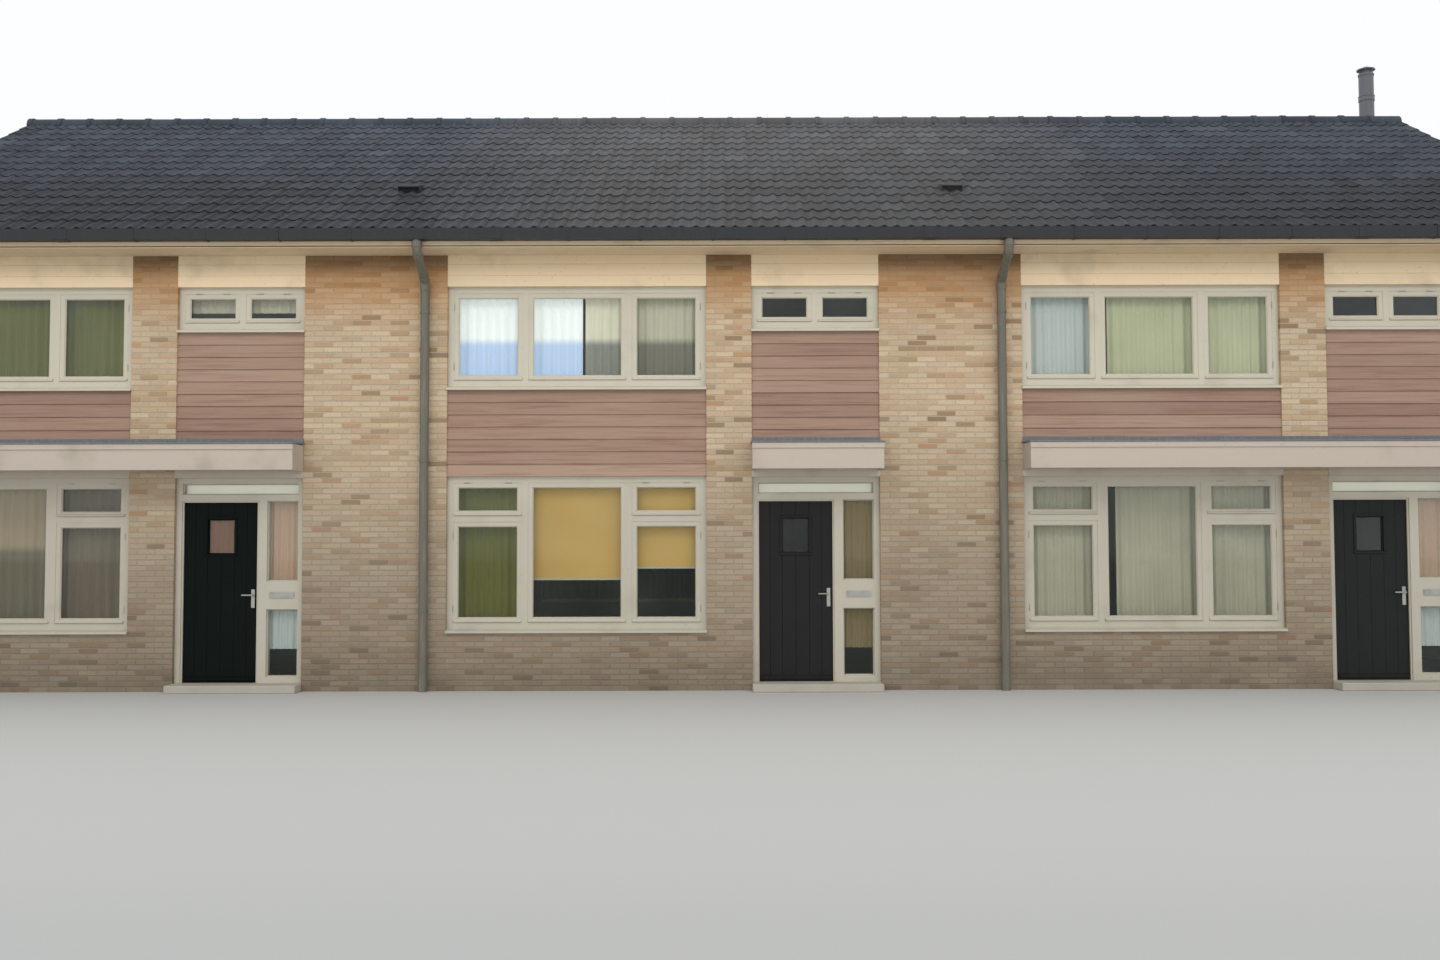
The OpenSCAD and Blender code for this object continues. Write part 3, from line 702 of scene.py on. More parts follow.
def brick_gable(name, seed, side):
    layer = Bricklayer(seed)
    lines, at = unit_lines([FACE_Y + BRICK_IN, -FACE_Y - BRICK_IN])
    turn = Matrix.Translation((side * (ROW_END + PROUD), 0, 0)) @ Matrix.Rotation(side * math.pi / 2, 4, "Z")
    layer.lay(turn, lines, 0, at[-1], range(0, math.ceil(RIDGE_Z / COURSE)), offset=1)
    for slope in (-SLOPE, SLOPE):
        saw_off(layer.bm, (0, 0, RIDGE_Z - HIDDEN_IN_VERGE), (0, slope, 1))
    finish_piece(name, layer.bm, "brick")


brick_front("bricks_front", 11, rear=False)
brick_front("bricks_rear", 12, rear=True)
brick_gable("bricks_gable_left", 13, -1)
brick_gable("bricks_gable_right", 14, 1)

# Roof covering

PITCH = math.atan(SLOPE)
TILE_COLUMNS = 67
TILE_COURSES = 16
TILE_EDGE_X = ROW_END + 0.045
TILE_TAIL_Y = 4.86
TILE_COVER = 2 * TILE_EDGE_X / TILE_COLUMNS
TILE_GAUGE = TILE_TAIL_Y / math.cos(PITCH) / TILE_COURSES
TILE_L = TILE_GAUGE + 0.075
TILE_T = 0.012
ROLL_H = 0.024
ROLL_HALF_W = 0.15
ROLLS = 0.33, 0.85
SIDE_LAP = 0.003
CHEEK_H = 0.055
TAIL_LIFT = 0.018
PALE_SHARE = 0.012


def tile_height(u):
    """The height of a tile's two rolls and its side lap at a share u of its width."""
    for centre in ROLLS:
        away = abs(u - centre) / ROLL_HALF_W
        if away < 1:
            return ROLL_H * math.cos(away * math.pi / 2) ** 1.4 + SIDE_LAP * (u > ROLLS[1])
    return SIDE_LAP if u > 0.99 else 0.0


def tile_stamp(verge=0):
    """One tile, its tail on the X axis and its head up along +Y. On a verge its outer side has a cheek."""
    bm, width = bmesh.new(), TILE_COVER + 0.004
    bmesh.ops.create_grid(bm, x_segments=12, y_segments=1, size=0.5)
    for v in bm.verts:
        u = v.co.x + 0.5
        v.co = (u * width, (v.co.y + 0.5) * TILE_L, tile_height(u))
    bmesh.ops.solidify(bm, geom=bm.faces[:], thickness=-TILE_T)
    bmesh.ops.translate(bm, vec=(0, 0, -min(v.co.z for v in bm.verts)), verts=bm.verts)
    if verge:
        x = 0.0 if verge < 0 else width - TILE_T
        box(bm, (x, 0, -CHEEK_H), (x + TILE_T, TILE_L, TILE_T + SIDE_LAP), 0.002)
    soften(bm)
    return Stamp(bm)


def tile_slope(name, seed, rear):
    bm, pick = new_piece(), random.Random(seed)
    jog = pick.uniform
    plain, left, right = tile_stamp(), tile_stamp(-1), tile_stamp(1)
    stamps = [left] + [plain] * (TILE_COLUMNS - 2) + [right]
    fall = math.asin((TAIL_LIFT - 0.002) / TILE_L)
    on_slope = Matrix.Translation((0, 0, RIDGE_Z)) @ Matrix.Rotation(PITCH, 4, "X")
    for course in range(1, TILE_COURSES + 1):
        for column, stamp in enumerate(stamps):
            spot = (-TILE_EDGE_X + column * TILE_COVER + jog(-0.001, 0.001),
                    -course * TILE_GAUGE + jog(-0.002, 0.002), TAIL_LIFT + jog(-0.001, 0.0015))
            lie = Matrix.Rotation(-fall, 4, "X") @ Matrix.Rotation(jog(-0.003, 0.003), 4, "Z")
            tone = 0.97 if pick.random() < PALE_SHARE else min(0.85, max(0.0, pick.gauss(0.45, 0.18)))
            stamp.put(bm, on_slope @ Matrix.Translation(spot) @ lie, tone)
    saw_off(bm, (0, -0.01, 0), (0, 1, 0))
    if rear:
        mirror_to_rear(bm, keep_front=False)
    finish_piece(name, bm, "tile")


RIDGE_L = 0.45
RIDGE_R = 0.126
RIDGE_T = 0.014
RIDGE_COLLAR = 0.012
RIDGE_PAST = 0.02
RIDGE_SEAT_Z = RIDGE_Z - 0.034


def half_round(bm, x0, x1, radius):
    """A half-round shell along X."""
    place = Matrix.Translation(((x0 + x1) / 2, 0, 0)) @ Matrix.Rotation(math.pi / 2, 4, "Y")
    made = bmesh.ops.create_cone(bm, cap_ends=False, segments=28, radius1=radius, radius2=radius,
                                 depth=x1 - x0, matrix=place)["verts"]
    bmesh.ops.delete(bm, geom=[v for v in made if v.co.z < -0.001], context="VERTS")
    faces = list({f for v in made if v.is_valid for f in v.link_faces})
    bmesh.ops.recalc_face_normals(bm, faces=faces)
    if sum(f.normal.dot(f.calc_center_median()) for f in faces) < 0:
        bmesh.ops.reverse_faces(bm, faces=faces)
    bmesh.ops.solidify(bm, geom=faces, thickness=RIDGE_T)


def ridge_row():
    bm, pick, shape = new_piece(), random.Random(21), bmesh.new()
    half_round(shape, 0, RIDGE_L, RIDGE_R)
    half_round(shape, -RIDGE_COLLAR, 0.055, RIDGE_R + RIDGE_COLLAR)
    soften(shape)
    stamp, jog, end = Stamp(shape), pick.uniform, ROW_END + RIDGE_PAST
    count = round(2 * end / (RIDGE_L - 0.02))
    for k in range(count):
        spot = -end + k * 2 * end / count, jog(-0.002, 0.002), RIDGE_SEAT_Z + jog(-0.002, 0.002)
        stamp.put(bm, Matrix.Translation(spot) @ Matrix.Rotation(jog(-0.004, 0.004), 4, "Y"), jog(0.3, 0.8))
    finish_piece("ridge_row", bm, "tile", replaces=["ridge_tiles"])
    bed, bed_z = new_piece(), (RIDGE_Z - 0.1, RIDGE_SEAT_Z + 0.004)
    for low, high in ((-0.122, -0.08), (0.08, 0.122)):
        box(bed, (-ROW_END, low, bed_z[0]), (ROW_END, high, bed_z[1]), 0.006)
    finish_piece("ridge_bedding", bed, "mortar")


FLUE_X = party_x(RIGHT + 1) - 0.15
FLUE_Y = 0.29
FLUE_R = 0.105
FLUE_SIDES = 40
FLUE_TOP_Z = RIDGE_Z + 0.87
SOCKET_Z = RIDGE_Z + 0.4
COLLAR_Z = RIDGE_Z + 0.06
MOUTH_Z = FLUE_TOP_Z - 0.06
SLATE_W = 0.5
SLATE_L = 0.46
VENT_Y = -3.37


def flue_ring(bm, z0, z1, foot_out, top_out):
    """A ring on the flue's axis. Its foot and its top have their own distances out from the pipe."""
    place = Matrix.Translation((FLUE_X, FLUE_Y, (z0 + z1) / 2))
    return bmesh.ops.create_cone(bm, cap_ends=True, segments=FLUE_SIDES, radius1=FLUE_R + foot_out,
                                 radius2=FLUE_R + top_out, depth=z1 - z0, matrix=place)["verts"]


def flue():
    """A socketed pipe with a storm collar and a capped mouth, in a lead slate dressed over the tiles."""
    bm, foot_z = new_piece(), roof_z(FLUE_Y)
    rod(bm, (FLUE_X, FLUE_Y, foot_z - 0.1), (FLUE_X, FLUE_Y, FLUE_TOP_Z - 0.05), FLUE_R, FLUE_SIDES)
    # Where each ring begins and ends, how far its foot and its top stand out, and the rounding of its rims
    for z0, z1, foot_out, top_out, rounding in (
            (SOCKET_Z, SOCKET_Z + 0.07, 0.008, 0.008, 0.004),
            (SOCKET_Z + 0.07, SOCKET_Z + 0.082, 0.012, 0.012, 0.004),
            (FLUE_TOP_Z - 0.085, FLUE_TOP_Z - 0.05, 0.007, 0.007, 0.004),
            (COLLAR_Z, COLLAR_Z + 0.006, 0.042, 0.042, 0),
            (COLLAR_Z + 0.004, COLLAR_Z + 0.04, 0.04, 0.002, 0),
            (MOUTH_Z, FLUE_TOP_Z + 0.01, -0.03, -0.03, 0),
            (FLUE_TOP_Z, FLUE_TOP_Z + 0.02, 0.025, 0.025, 0.005),
            (FLUE_TOP_Z + 0.018, FLUE_TOP_Z + 0.058, 0.018, 0.03 - FLUE_R, 0)):
        made = flue_ring(bm, z0, z1, foot_out, top_out)
        if rounding:
            bevel(bm, [e for e in edges_of(made) if e.calc_face_angle(0) > 1], rounding, 2)
    bar_out, bars = FLUE_R - 0.011, 6
    for k in range(bars):
        angle = k * 2 * math.pi / bars
        x, y = FLUE_X + bar_out * math.cos(angle), FLUE_Y + bar_out * math.sin(angle)
        rod(bm, (x, y, MOUTH_Z), (x, y, FLUE_TOP_Z + 0.01), 0.007, 8)
    soften(bm)
    finish_piece("flue", bm, "flue", replaces=["flue_pipe"])
    sheet = new_piece()
    bmesh.ops.create_grid(sheet, x_segments=44, y_segments=12, size=0.5)
    for v in sheet.verts:
        rim = min(1, (0.5 - max(abs(v.co.x), abs(v.co.y))) / 0.05)
        u = (FLUE_X + v.co.x * SLATE_W + TILE_EDGE_X) % TILE_COVER / TILE_COVER
        v.co = (v.co.x * SLATE_W, v.co.y * SLATE_L, 0.026 + 0.01 * rim + tile_height(u))
    bmesh.ops.recalc_face_normals(sheet, faces=sheet.faces)
    bmesh.ops.solidify(sheet, geom=sheet.faces[:], thickness=0.003)
    slope = Matrix.Translation((FLUE_X, FLUE_Y, foot_z)) @ Matrix.Rotation(-PITCH, 4, "X")
    bmesh.ops.transform(sheet, matrix=slope, verts=sheet.verts)
    flue_ring(sheet, foot_z - 0.06, foot_z + 0.15, 0.07, 0.004)
    soften(sheet)
    finish_piece("flue_slate", sheet, "lead")


def vent_hoods():
    """Hooded vents with slatted mouths, set in the tiles."""
    half, front, mouth, back, cheek = 0.13, -0.15, 0.112, 0.05, 0.012
    shape = bmesh.new()
    for v in box(shape, (-half, front + 0.035, 0), (half, -front, mouth)):
        if v.co.y > 0 and v.co.z > back:
            v.co.z = back
    bevel(shape, shape.edges[:], 0.012, 2)
    for x in (-half + 0.002, half - 0.002 - cheek):
        box(shape, (x, front, 0.02), (x + cheek, front + 0.05, mouth - 0.006), 0.002)
    box(shape, (-half, front - 0.008, mouth - 0.02), (half, front + 0.05, mouth - 0.004), 0.004)
    slat_x, slat_y, slat_t = half - 0.013, (front + 0.006, front + 0.018), 0.007
    for k in range(4):
        z = 0.03 + 0.017 * k
        box(shape, (-slat_x, slat_y[0], z), (slat_x, slat_y[1], z + slat_t), 0.001)
    soften(shape)
    stamp, bm = Stamp(shape), new_piece()
    for i in EACH_HOUSE:
        spot = Matrix.Translation((party_x(i + 1) - 0.4, VENT_Y, roof_z(VENT_Y)))
        stamp.put(bm, spot @ Matrix.Rotation(PITCH, 4, "X"), 0.4)
    finish_piece("vent_hoods", bm, "tile", replaces=["roof_vents"])


tile_slope("tiles_front", 31, rear=False)
tile_slope("tiles_rear", 32, rear=True)
ridge_row()
flue()
vent_hoods()

# Boards


def weatherboards():
    """Overlapping wedge boards with a rounded lower edge, between the windows."""
    bm, pick = new_piece(), random.Random(41)
    exposure, lap, thin_in, rounding = 0.142, 0.018, BOARD_IN + 0.016, 0.006
    for i in EACH_HOUSE:
        wide_low = LOW_HEAD_Z if i == MIDDLE else BAND_TOP_Z
        for (x0, x1), z0, z1 in ((wide_bay(i), wide_low, HIGH_SILL_Z - SILL_H),
                                 (narrow_bay(i), BAND_TOP_Z, SMALL_SILL_Z - SILL_H)):
            count = round((z1 - z0) / exposure)
            gauge = (z1 - z0) / count
            for k in range(count):
                low, high = z0 + k * gauge, min(z1, z0 + (k + 1) * gauge + lap)
                face_in = BOARD_IN + pick.uniform(0, 0.0015)
                made = facade_box(bm, x0, x1, face_in, BOARD_IN + BOARD_T, low, high)
                for v in made:
                    if v.co.z > (low + high) / 2 and v.co.y < FACE_Y + BOARD_IN + BOARD_T / 2:
                        v.co.y = FACE_Y + thin_in
                tint(bm, made, min(1, max(0, pick.gauss(0.5, 0.2))))
                butt = [e for e in edges_of(made)
                        if all(v.co.z < low + 0.001 and v.co.y < FACE_Y + 0.02 for v in e.verts)]
                bevel(bm, butt, rounding, 3)
    mirror_to_rear(bm)
    finish_piece("weatherboards", bm, "board", replaces=["cladding_boards"])


def planks(bm, x0, x1, in0, in1, z0, z1, pick):
    """A strip of level boards with chamfered edges."""
    count, gap = 3, 0.0005
    gauge = (z1 - z0) / count
    for k in range(count):
        low, high = z0 + k * gauge + gap, z0 + (k + 1) * gauge - gap
        facade_box(bm, x0, x1, in0, in1, low, high, 0.004, pick.uniform(0.2, 0.8))


def painted_planks():
    head, band, pick = new_piece(), new_piece(), random.Random(42)
    for i in EACH_HOUSE:
        for span in (wide_bay(i), narrow_bay(i)):
            planks(head, *span, -0.002, BOARD_IN + 0.004, HIGH_HEAD_Z, SOFFIT_Z, pick)
            if i != MIDDLE or span == narrow_bay(i):
                planks(band, *span, -0.012, 0.004, LOW_HEAD_Z - 0.012, BAND_TOP_Z, pick)
    mirror_to_rear(head)
    mirror_to_rear(band)
    finish_piece("head_planks", head, "head")
    finish_piece("band_planks", band, "band")


def soffit_boards():
    """Boards under the eaves, butted along their length."""
    bm, pick = new_piece(), random.Random(44)
    rows, lengths, gap, under_z, top_z = 4, 6, 0.0006, 4.991, 5.003
    width, length = (FACE_Y - EAVE_Y) / rows, 2 * ROW_END / lengths
    for row in range(rows):
        y = EAVE_Y + row * width
        cuts = [-ROW_END + length * (k + 0.5 * (row % 2)) for k in range(lengths + 1)]
        cuts = sorted({round(min(ROW_END, x), 4) for x in (-ROW_END, *cuts, ROW_END)})
        for x0, x1 in zip(cuts, cuts[1:]):
            box(bm, (x0 + gap, y + gap, under_z), (x1 - gap, y + width - gap, top_z), 0.003,
                pick.uniform(0.2, 0.8))
    mirror_to_rear(bm)
    finish_piece("soffit_boards", bm, "head")


def eaves_box_ends():
    """Three-cornered boards that close the ends of the boxed eaves, between the soffit and the roof."""
    bm = new_piece()
    board, lap, under_slab = 0.022, 0.004, RIDGE_Z - SLAB_T
    outer_y, inner_y = EAVE_Y + lap, FACE_Y - lap
    corners = (outer_y, SOFFIT_TOP_Z), (inner_y, SOFFIT_TOP_Z), (inner_y, under_slab + inner_y * SLOPE)
    for side in (-1, 1):
        end = bm.faces.new([bm.verts.new((side * (ROW_END + 0.002), y, z)) for y, z in corners])
        made = bmesh.ops.extrude_face_region(bm, geom=[end])["geom"]
        bmesh.ops.translate(bm, vec=(-side * board, 0, 0), verts=only(bmesh.types.BMVert, made))
    bmesh.ops.recalc_face_normals(bm, faces=bm.faces)
    mirror_to_rear(bm)
    finish_piece("eaves_box_ends", bm, "head")


def canopy_spans():
    return [((narrow_bay(i) if i == MIDDLE else wide_bay(i))[0], narrow_bay(i)[1]) for i in EACH_HOUSE]


def canopy_boxes():
    """Fascia and end boards round the canopies, with grooved boards underneath."""
    bm, pick = new_piece(), random.Random(43)
    board, front, top, lining, chamfer = 0.022, -CANOPY_OUT, BAND_TOP_Z - 0.04, CANOPY_LOW_Z + 0.036, 0.003
    back, count = front + board, 4
    for x0, x1 in canopy_spans():
        a, b = x0 + board, x1 - board
        facade_box(bm, x0, x1, front, back, CANOPY_LOW_Z, top, chamfer)
        facade_box(bm, x0 - 0.004, x1 + 0.004, front - 0.014, front + 0.004, top - 0.06, top + 0.004, chamfer)
        for x in (x0, b):
            facade_box(bm, x, x + board, back, 0, CANOPY_LOW_Z, top + 0.01, chamfer)
        for k in range(count):
            in0, in1 = back - back * k / count, back - back * (k + 1) / count
            facade_box(bm, a, b, in0, in1, lining - 0.016, lining, 0.004, pick.uniform(0.1, 0.7))
        facade_box(bm, a, b, back, 0, lining, top)
    finish_piece("canopy_boxes", bm, "band", replaces=["canopies"])


def canopy_roofs():
    """Lead on the canopies: a falling top, a rolled drip edge, rolls on its seams and an upstand."""
    bm = new_piece()
    over, low, sheet, fall, bay = 0.012, BAND_TOP_Z - 0.036, 0.016, 0.02, 0.75
    edge_y, edge_z, wall_y = FACE_Y - CANOPY_OUT - 0.018, low + 0.005, FACE_Y - 0.01
    for x0, x1 in canopy_spans():
        for v in facade_box(bm, x0 - over, x1 + over, -CANOPY_OUT - 0.02, 0, low, low + sheet):
            if v.co.y > wall_y:
                v.co.z += fall
        rod(bm, (x0 - over, edge_y, edge_z), (x1 + over, edge_y, edge_z), 0.009, 10)
        facade_box(bm, x0, x1, -0.018, 0.002, low + sheet, BAND_TOP_Z + 0.05, 0.003)
        bays = round((x1 - x0) / bay)
        for k in range(1, bays):
            x = x0 + (x1 - x0) * k / bays
            rod(bm, (x, edge_y + 0.006, low + 0.018), (x, wall_y, low + 0.018 + fall), 0.011, 8)
    soften(bm)
    finish_piece("canopy_roofs", bm, "lead")


weatherboards()
painted_planks()
soffit_boards()
eaves_box_ends()
canopy_boxes()
canopy_roofs()

# Rainwater goods


def gutter_straps():
    """Straps that hold the gutters to the fascia boards, and the sleeves at their joints."""
    bm = new_piece()
    low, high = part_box("gutter_front")
    outer, inner = low.y, high.y
    count, sleeve_every, first, chamfer = 25, 6, ROW_END - 0.35, 0.001
    for k in range(count):
        sleeve = k % sleeve_every == sleeve_every // 2
        half, skin = (0.075, 0.004) if sleeve else (0.014, 0.005)
        x0, x1 = (-first + k * 2 * first / (count - 1) + edge for edge in (-half, half))
        box(bm, (x0, outer - skin, low.z - skin), (x1, inner, low.z), chamfer)
        box(bm, (x0, outer - skin, low.z - skin), (x1, outer, high.z + skin), chamfer)
        box(bm, (x0, outer - skin, high.z), (x1, outer + 0.014, high.z + skin), chamfer)
        if not sleeve:
            box(bm, (x0, outer, high.z - 0.012), (x1, inner, high.z - 0.007), chamfer)
    mirror_to_rear(bm)
    finish_piece("gutter_straps", bm, "gutter")


gutter_straps()

# Windows


def beads():
    """Glazing beads round every pane, with a sloping outer face."""
    bm = new_piece()
    width, front, slope = 0.013, 0.011, 0.6
    for i in EACH_HOUSE:
        sashes = high_lights(i) + small_lights(i) + low_lights(i)
        panes = [(x0 + SASH_W, x1 - SASH_W, z0 + SASH_W, z1 - SASH_W, GLASS_IN) for x0, x1, z0, z1 in sashes]
        panes += [(*light, DOOR_GLASS_IN) for light in fixed_lights(i)]
        for x0, x1, z0, z1, depth in panes:
            centre = (x0 + x1) / 2, 0, (z0 + z1) / 2
            for a, b, c, d in ((x0, x1, z0, z0 + width), (x0, x1, z1 - width, z1),
                               (x0, x0 + width, z0, z1), (x1 - width, x1, z0, z1)):
                axis, half = (0, (x1 - x0) / 2) if b - a < d - c else (2, (z1 - z0) / 2)
                for v in facade_box(bm, a, b, depth - front, depth, c, d):
                    out = v.co[axis] - centre[axis]
                    if v.co.y < FACE_Y + depth - front / 2 and abs(out) < half - width / 2:
                        v.co[axis] += math.copysign(width * slope, out)
    mirror_to_rear(bm)
    finish_piece("glazing_beads", bm, "cream")


def sash_hinges():
    """Hinge knuckles on the sashes that open."""
    bm = new_piece()
    y, length, near, radius, sides = FACE_Y + SASH_IN - 0.004, 0.08, 0.12, 0.007, 10
    for i in EACH_HOUSE:
        high, low = high_lights(i), low_lights(i)
        for x0, x1, z0, z1 in (high[0], high[2], low[1], low[3]):
            x = x0 if x0 < sum(wide_bay(i)) / 2 else x1
            for z in (z0 + near, z1 - near - length):
                rod(bm, (x, y, z), (x, y, z + length), radius, sides)
        for x0, x1, z0, z1 in (low[2], low[4], *small_lights(i)):
            for x in (x0 + near, x1 - near - length):
                rod(bm, (x, y, z1), (x + length, y, z1), radius, sides)
    soften(bm)
    mirror_to_rear(bm)
    finish_piece("sash_hinges", bm, "metal")


beads()
sash_hinges()

# Front doors


def opening_trim(bm, x0, x1, z0, z1, in0, in1, width, chamfer=0.004):
    """Four trims round an opening."""
    for a, b, c, d in ((x0 - width, x1 + width, z0 - width, z0), (x0 - width, x1 + width, z1, z1 + width),
                       (x0 - width, x0, z0, z1), (x1, x1 + width, z0, z1)):
        facade_box(bm, a, b, in0, in1, c, d, chamfer)


def boarded_door(i):
    """A leaf of upright boards with a small glazed opening near its top and a weather bar at its foot."""
    bm, pick = new_piece(), random.Random(60 + i)
    x0, x1 = leaf_span(i)
    in0, in1 = FRAME_BACK - LEAF_T, FRAME_BACK
    z0, z1 = STEP_Z + LEAF_GAP, DOOR_HEAD_Z - LEAF_GAP
    a, b, c, d = light = door_light(i)
    side, lip = (a - x0) / 2, 0.012
    lines = [x0, x0 + side, a, (a + b) / 2, b, x1 - side, x1]
    for left, right in zip(lines, lines[1:]):
        tone = pick.uniform(0.3, 0.7)
        for low, high in ((z0, c), (d, z1)) if a <= left and right <= b else ((z0, z1),):
            facade_box(bm, left, right, in0, in1, low, high, 0.0035, tone)
    bar_z, bar_h, bar_fall = z0 + 0.03, 0.045, 0.025
    for v in facade_box(bm, x0 + 0.03, x1 - 0.03, in0 - 0.03, in0 + 0.01, bar_z, bar_z + bar_h):
        if v.co.z > bar_z + bar_h / 2 and v.co.y < FACE_Y + in0 - 0.01:
            v.co.z -= bar_fall
    opening_trim(bm, *light, in0 - lip, in1 + lip, 0.03)
    opening_trim(bm, a + lip, b - lip, c + lip, d - lip, in0 + lip, in1 - lip, 0.014, 0.003)
    colour, body = ("green", "black", "grey")[i], "front_door_" + HOUSES[i]
    finish_piece("boarded_door_" + HOUSES[i], bm, colour, body,
                 ["door_leaf_" + HOUSES[i]])
    pane, middle, half = new_piece(), (in0 + in1) / 2, 0.003
    facade_box(pane, a, b, middle - half, middle + half, c, d, 0.001)
    finish_piece("door_pane_" + HOUSES[i], pane, "glass", body)


def rear_doors():
    """Framed doors with a pane above the lock rail and a raised panel below it."""
    bm, panes, handles = new_piece(), new_piece(), new_piece()
    in0, in1 = FRAME_BACK - LEAF_T - LEAF_GAP, FRAME_BACK
    stile, bead, field, chamfer = 0.125, 0.014, 0.05, 0.003
    foot, lock, pane_top = STEP_Z + 0.23, STEP_Z + 0.9, DOOR_HEAD_Z - stile
    for i in EACH_HOUSE:
        x0, x1 = leaf_span(i)[0] - LEAF_GAP, leaf_span(i)[1] + LEAF_GAP
        a, b = x0 + stile, x1 - stile
        for x in (x0, b):
            facade_box(bm, x, x + stile, in0, in1, STEP_Z, DOOR_HEAD_Z, chamfer)
        for low, high in ((STEP_Z, foot), (lock, REAR_RAIL_TOP_Z), (pane_top, DOOR_HEAD_Z)):
            facade_box(bm, a, b, in0, in1, low, high, chamfer)
        facade_box(bm, a, b, in0 + 0.02, in1 - 0.02, foot, lock)
        facade_box(bm, a + field, b - field, in0 + 0.008, in1 - 0.008, foot + field, lock - field, 0.012)
        for low, high in ((foot, lock), (REAR_RAIL_TOP_Z, pane_top)):
            opening_trim(bm, a + bead, b - bead, low + bead, high - bead, in0 + 0.006, in1 - 0.006, bead,
                         0.005)
        facade_box(panes, a, b, in0 + 0.022, in1 - 0.022, REAR_RAIL_TOP_Z, pane_top, 0.001)
        x, y, z = x1 - 0.06, FACE_Y + in0, STEP_Z + 1.02
        facade_box(handles, x - 0.02, x + 0.02, in0 - 0.008, in0, z - 0.14, z + 0.06, chamfer)
        rod(handles, (x, y, z), (x, y - 0.055, z), 0.01, 16)
        rod(handles, (x + 0.008, y - 0.05, z), (x - 0.12, y - 0.05, z), 0.009, 16)
    for made in (bm, panes, handles):
        mirror_to_rear(made, keep_front=False)
    soften(handles)
    finish_piece("rear_doors", bm, "cream", replaces=["rear_door_leaves"])
    finish_piece("rear_door_panes", panes, "glass")
    finish_piece("rear_door_handles", handles, "metal")


def doorstep_blocks():
    bm = new_piece()
    for i in EACH_HOUSE:
        facade_box(bm, *narrow_bay(i), -0.25, WALL_T, 0, STEP_Z, 0.008)
    mirror_to_rear(bm)
    finish_piece("doorstep_blocks", bm, "concrete", replaces=["doorsteps"])


for i in EACH_HOUSE:
    boarded_door(i)
rear_doors()
doorstep_blocks()

# Curtains and blinds, each a sheet of cloth


def hang_cloth(name, paint, light, folds, rear=False, behind=0.21, depth=0.02, body="row"):
    """A curtain gathered into folds, or a flat blind: its flat width is the length of its own line."""
    bm, pick = bmesh.new(), random.Random(name)
    x0, x1, z0, z1 = light
    bmesh.ops.create_grid(bm, x_segments=max(8, folds * 8), y_segments=8, size=0.5)
    drift = [pick.uniform(-0.12, 0.12) for _ in range(folds + 2)]
    for v in bm.verts:
        along, up = (v.co.x + 0.5) * folds, v.co.y + 0.5
        k, rest = int(along), along % 1
        swing = math.sin((along + drift[k] * (1 - rest) + drift[k + 1] * rest) * 2 * math.pi)
        fold = depth * swing * (1 - 0.35 * up) if folds else 0.004 * math.sin(math.pi * up)
        v.co = (x0 + (v.co.x + 0.5) * (x1 - x0), FACE_Y + behind + fold, z0 + up * (z1 - z0))
    bmesh.ops.recalc_face_normals(bm, faces=bm.faces)
    for face in bm.faces:
        face.smooth = True
    area = sum(face.calc_area() for face in bm.faces)
    if rear:
        mirror_to_rear(bm, keep_front=False)
    piece = finish_piece(name, bm, paint, body)
    round(area / (z1 - z0), 3)
    round(z1 - z0, 3)


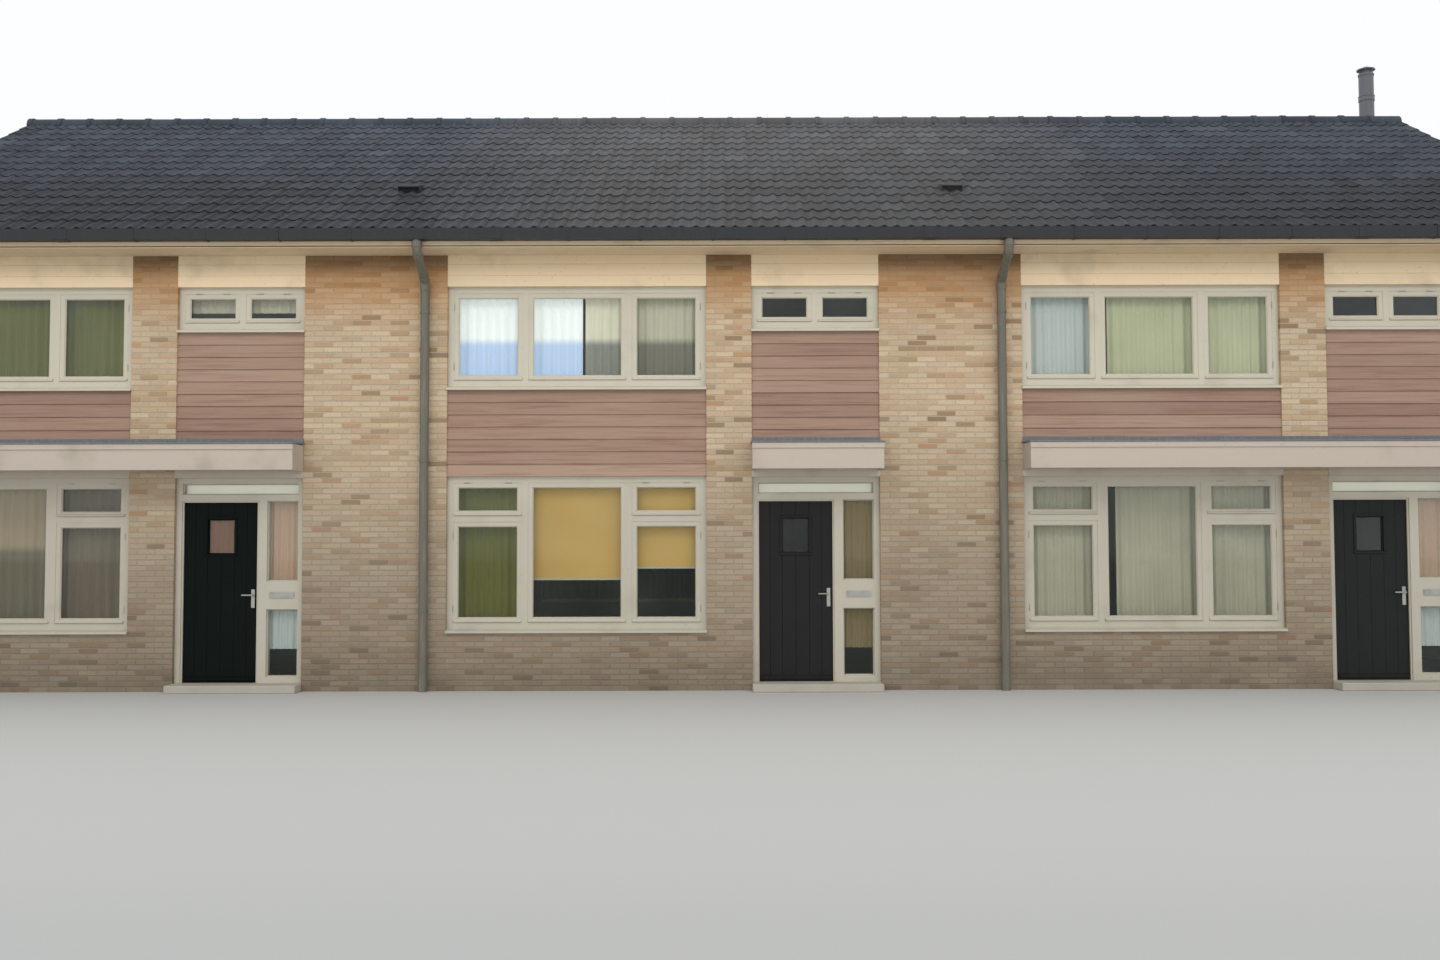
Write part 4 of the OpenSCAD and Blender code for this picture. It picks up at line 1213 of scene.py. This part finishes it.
def curtains():
    edge, past, inset = 0.04, 0.02, 0.015
    full = WIDE_BAY_W - 2 * edge
    lefts = [wide_bay(i)[0] + edge for i in EACH_HOUSE]
    high_z = HIGH_SILL_Z + 0.02, HIGH_HEAD_Z - 0.03
    low_z = LOW_SILL_Z + 0.02, LOW_HEAD_Z - 0.03
    # Each curtain has its cloth, its house, where it begins and ends from the bay's left edge, and its folds
    for name, paint, i, start, end, folds in (
            ("bedroom_curtain_left", "olive", LEFT, 0, full, 26),
            ("bedroom_curtain_middle_a", "net_with_painted_sky", MIDDLE, 0, 1.5, 14),
            ("bedroom_curtain_middle_b", "cream_net", MIDDLE, 1.53, 2.04, 5),
            ("bedroom_curtain_middle_c", "beige_with_painted_shade", MIDDLE, 2.08, full, 8),
            ("bedroom_curtain_right_a", "mist", RIGHT, 0, 0.95, 9),
            ("bedroom_curtain_right_b", "sage", RIGHT, 1.0, full, 17),
            ("living_room_curtain_left_a", "sand", LEFT, 0, 2.04, 16),
            ("living_room_curtain_left_b", "brown", LEFT, 2.08, full, 7),
            ("living_room_curtain_middle", "olive", MIDDLE, 0, 0.85, 9),
            ("living_room_curtain_right_a", "beige", RIGHT, 0, 0.8, 8),
            ("living_room_curtain_right_b", "beige", RIGHT, 1.07, full, 17)):
        heights, rests_on = (high_z, "high_frames") if name.startswith("bedroom") else (low_z, "low_frames")
        hang_cloth(name, paint, (lefts[i] + start, lefts[i] + end, *heights), folds)
    bars, lights = new_piece(), low_lights(MIDDLE)
    for name, light, drop in (("centre", lights[0], 1.15), ("side", lights[3], 1.02)):
        x0, x1, foot = light[0] - past, light[1] + past, low_z[1] - drop
        hang_cloth("roller_blind_" + name, "tan", (x0, x1, foot, low_z[1]), 0, behind=0.19)
        facade_box(bars, x0, x1, 0.184, 0.198, foot - 0.012, foot + 0.014, 0.004)
    x0, x1 = narrow_bay(LEFT)
    hang_cloth("small_window_curtain", "linen", (x0 + edge, x1 - edge, 4.36, high_z[1]), 14,
               depth=0.012)
    finish_piece("blind_bars", bars, "cream")
    for i, name in enumerate(HOUSES):
        width = lefts[i], lefts[i] + full
        hang_cloth("rear_bedroom_curtain_" + name, "net", (*width, *high_z), 26, rear=True)
        hang_cloth("rear_room_curtain_" + name, "beige", (*width, *low_z), 24, rear=True)
        (x0, x1, _, z1), beside, over = fixed_lights(i)
        rear_pane = leaf_span(i)[0] + 0.1, x1, REAR_RAIL_TOP_Z, beside[3]
        hall, net = ("khaki", "khaki") if i == MIDDLE else ("rose", "mist")
        for cloth_name, paint, light, folds, rear, behind in (
                ("hall_curtain_", hall, beside, 5, False, 0.185),
                ("hall_net_", net, (x0, x1, 0.47, z1), 5, False, 0.185),
                ("rear_hall_net_", "beige", (x0, x1, 0.42, z1), 5, True, 0.185),
                ("toplight_blind_", "white_blind", over, 0, False, 0.18),
                ("rear_toplight_blind_", "linen", over, 0, True, 0.18),
                ("rear_hall_curtain_", "linen", rear_pane, 15, True, 0.2)):
            rests_on = "rear_door_frames" if rear else "door_frame_" + name
            hang_cloth(cloth_name + name, paint, light, folds, rear, behind, 0.012)
    x0, x1, z0, z1 = door_light(LEFT)
    light = x0 + inset, x1 - inset, z0 + inset, z1 - inset
    hang_cloth("door_curtain_left", "russet", light, 4, behind=0.147, depth=0.005,
               body="front_door_left")


curtains()

# Studio: a pale floor, a soft sky, two long softboxes before the fronts and a weak lamp behind the row


def softbox(name, place, tilt, width, height, watts, spread=180):
    """A warm rectangular light aimed at the fronts. It lights the row and isn't seen itself."""
    light = bpy.data.lights.new(name, "AREA")
    light.shape, light.size, light.size_y = "RECTANGLE", width, height
    light.energy, light.color = watts, (1.0, 0.95, 0.88)
    light.spread = math.radians(spread)
    lamp = bpy.data.objects.new(name, light)
    lamp.location = place
    lamp.rotation_euler = (math.radians(tilt), 0, 0)
    lamp.visible_camera = lamp.visible_glossy = False
    scene.collection.objects.link(lamp)


def studio():
    bm = bmesh.new()
    bmesh.ops.create_grid(bm, x_segments=1, y_segments=1, size=150)
    mesh = bpy.data.meshes.new("studio_floor")
    bm.to_mesh(mesh)
    bm.free()
    p = Paint("studio_floor")
    mesh.materials.append(p.finish(p.mix(p.noise(0.05, 2.0), "b3b5b4", "babbb9"), 0.9))
    floor = bpy.data.objects.new("studio_floor", mesh)
    scene.collection.objects.link(floor)
    world = bpy.data.worlds.new("soft_sky")
    world.use_nodes = True
    background = world.node_tree.nodes["Background"]
    background.inputs["Color"].default_value = (0.982, 0.988, 1.0, 1)
    background.inputs["Strength"].default_value = 1.0
    scene.world = world
    softbox("high_softbox", (0, -11.5, 9), 58, 24, 3, 400)
    softbox("low_softbox", (0, -15, 2), 90, 24, 2.5, 122, 95)
    fill = bpy.data.lights.new("rear_fill", "SUN")
    fill.energy, fill.angle = 0.5, math.radians(20)
    rear_fill = bpy.data.objects.new("rear_fill", fill)
    rear_fill.rotation_euler = (math.radians(-60), 0, math.radians(12))
    scene.collection.objects.link(rear_fill)
    scene.view_settings.view_transform = "Standard"


def camera():
    """The photo's view from the street at eye height, tilted up a little and with a touch of roll."""
    up, roll = math.radians(2.66), math.radians(0.15)
    lens = bpy.data.cameras.new("street_camera")
    lens.lens, lens.sensor_width = 35, 36
    lens.clip_end = 400
    view = bpy.data.objects.new("street_camera", lens)
    view.location = (0.07, -20.35, 1.65)
    view.rotation_euler = (math.pi / 2 + up, roll, 0)
    scene.collection.objects.link(view)
    scene.camera = view


studio()
camera()
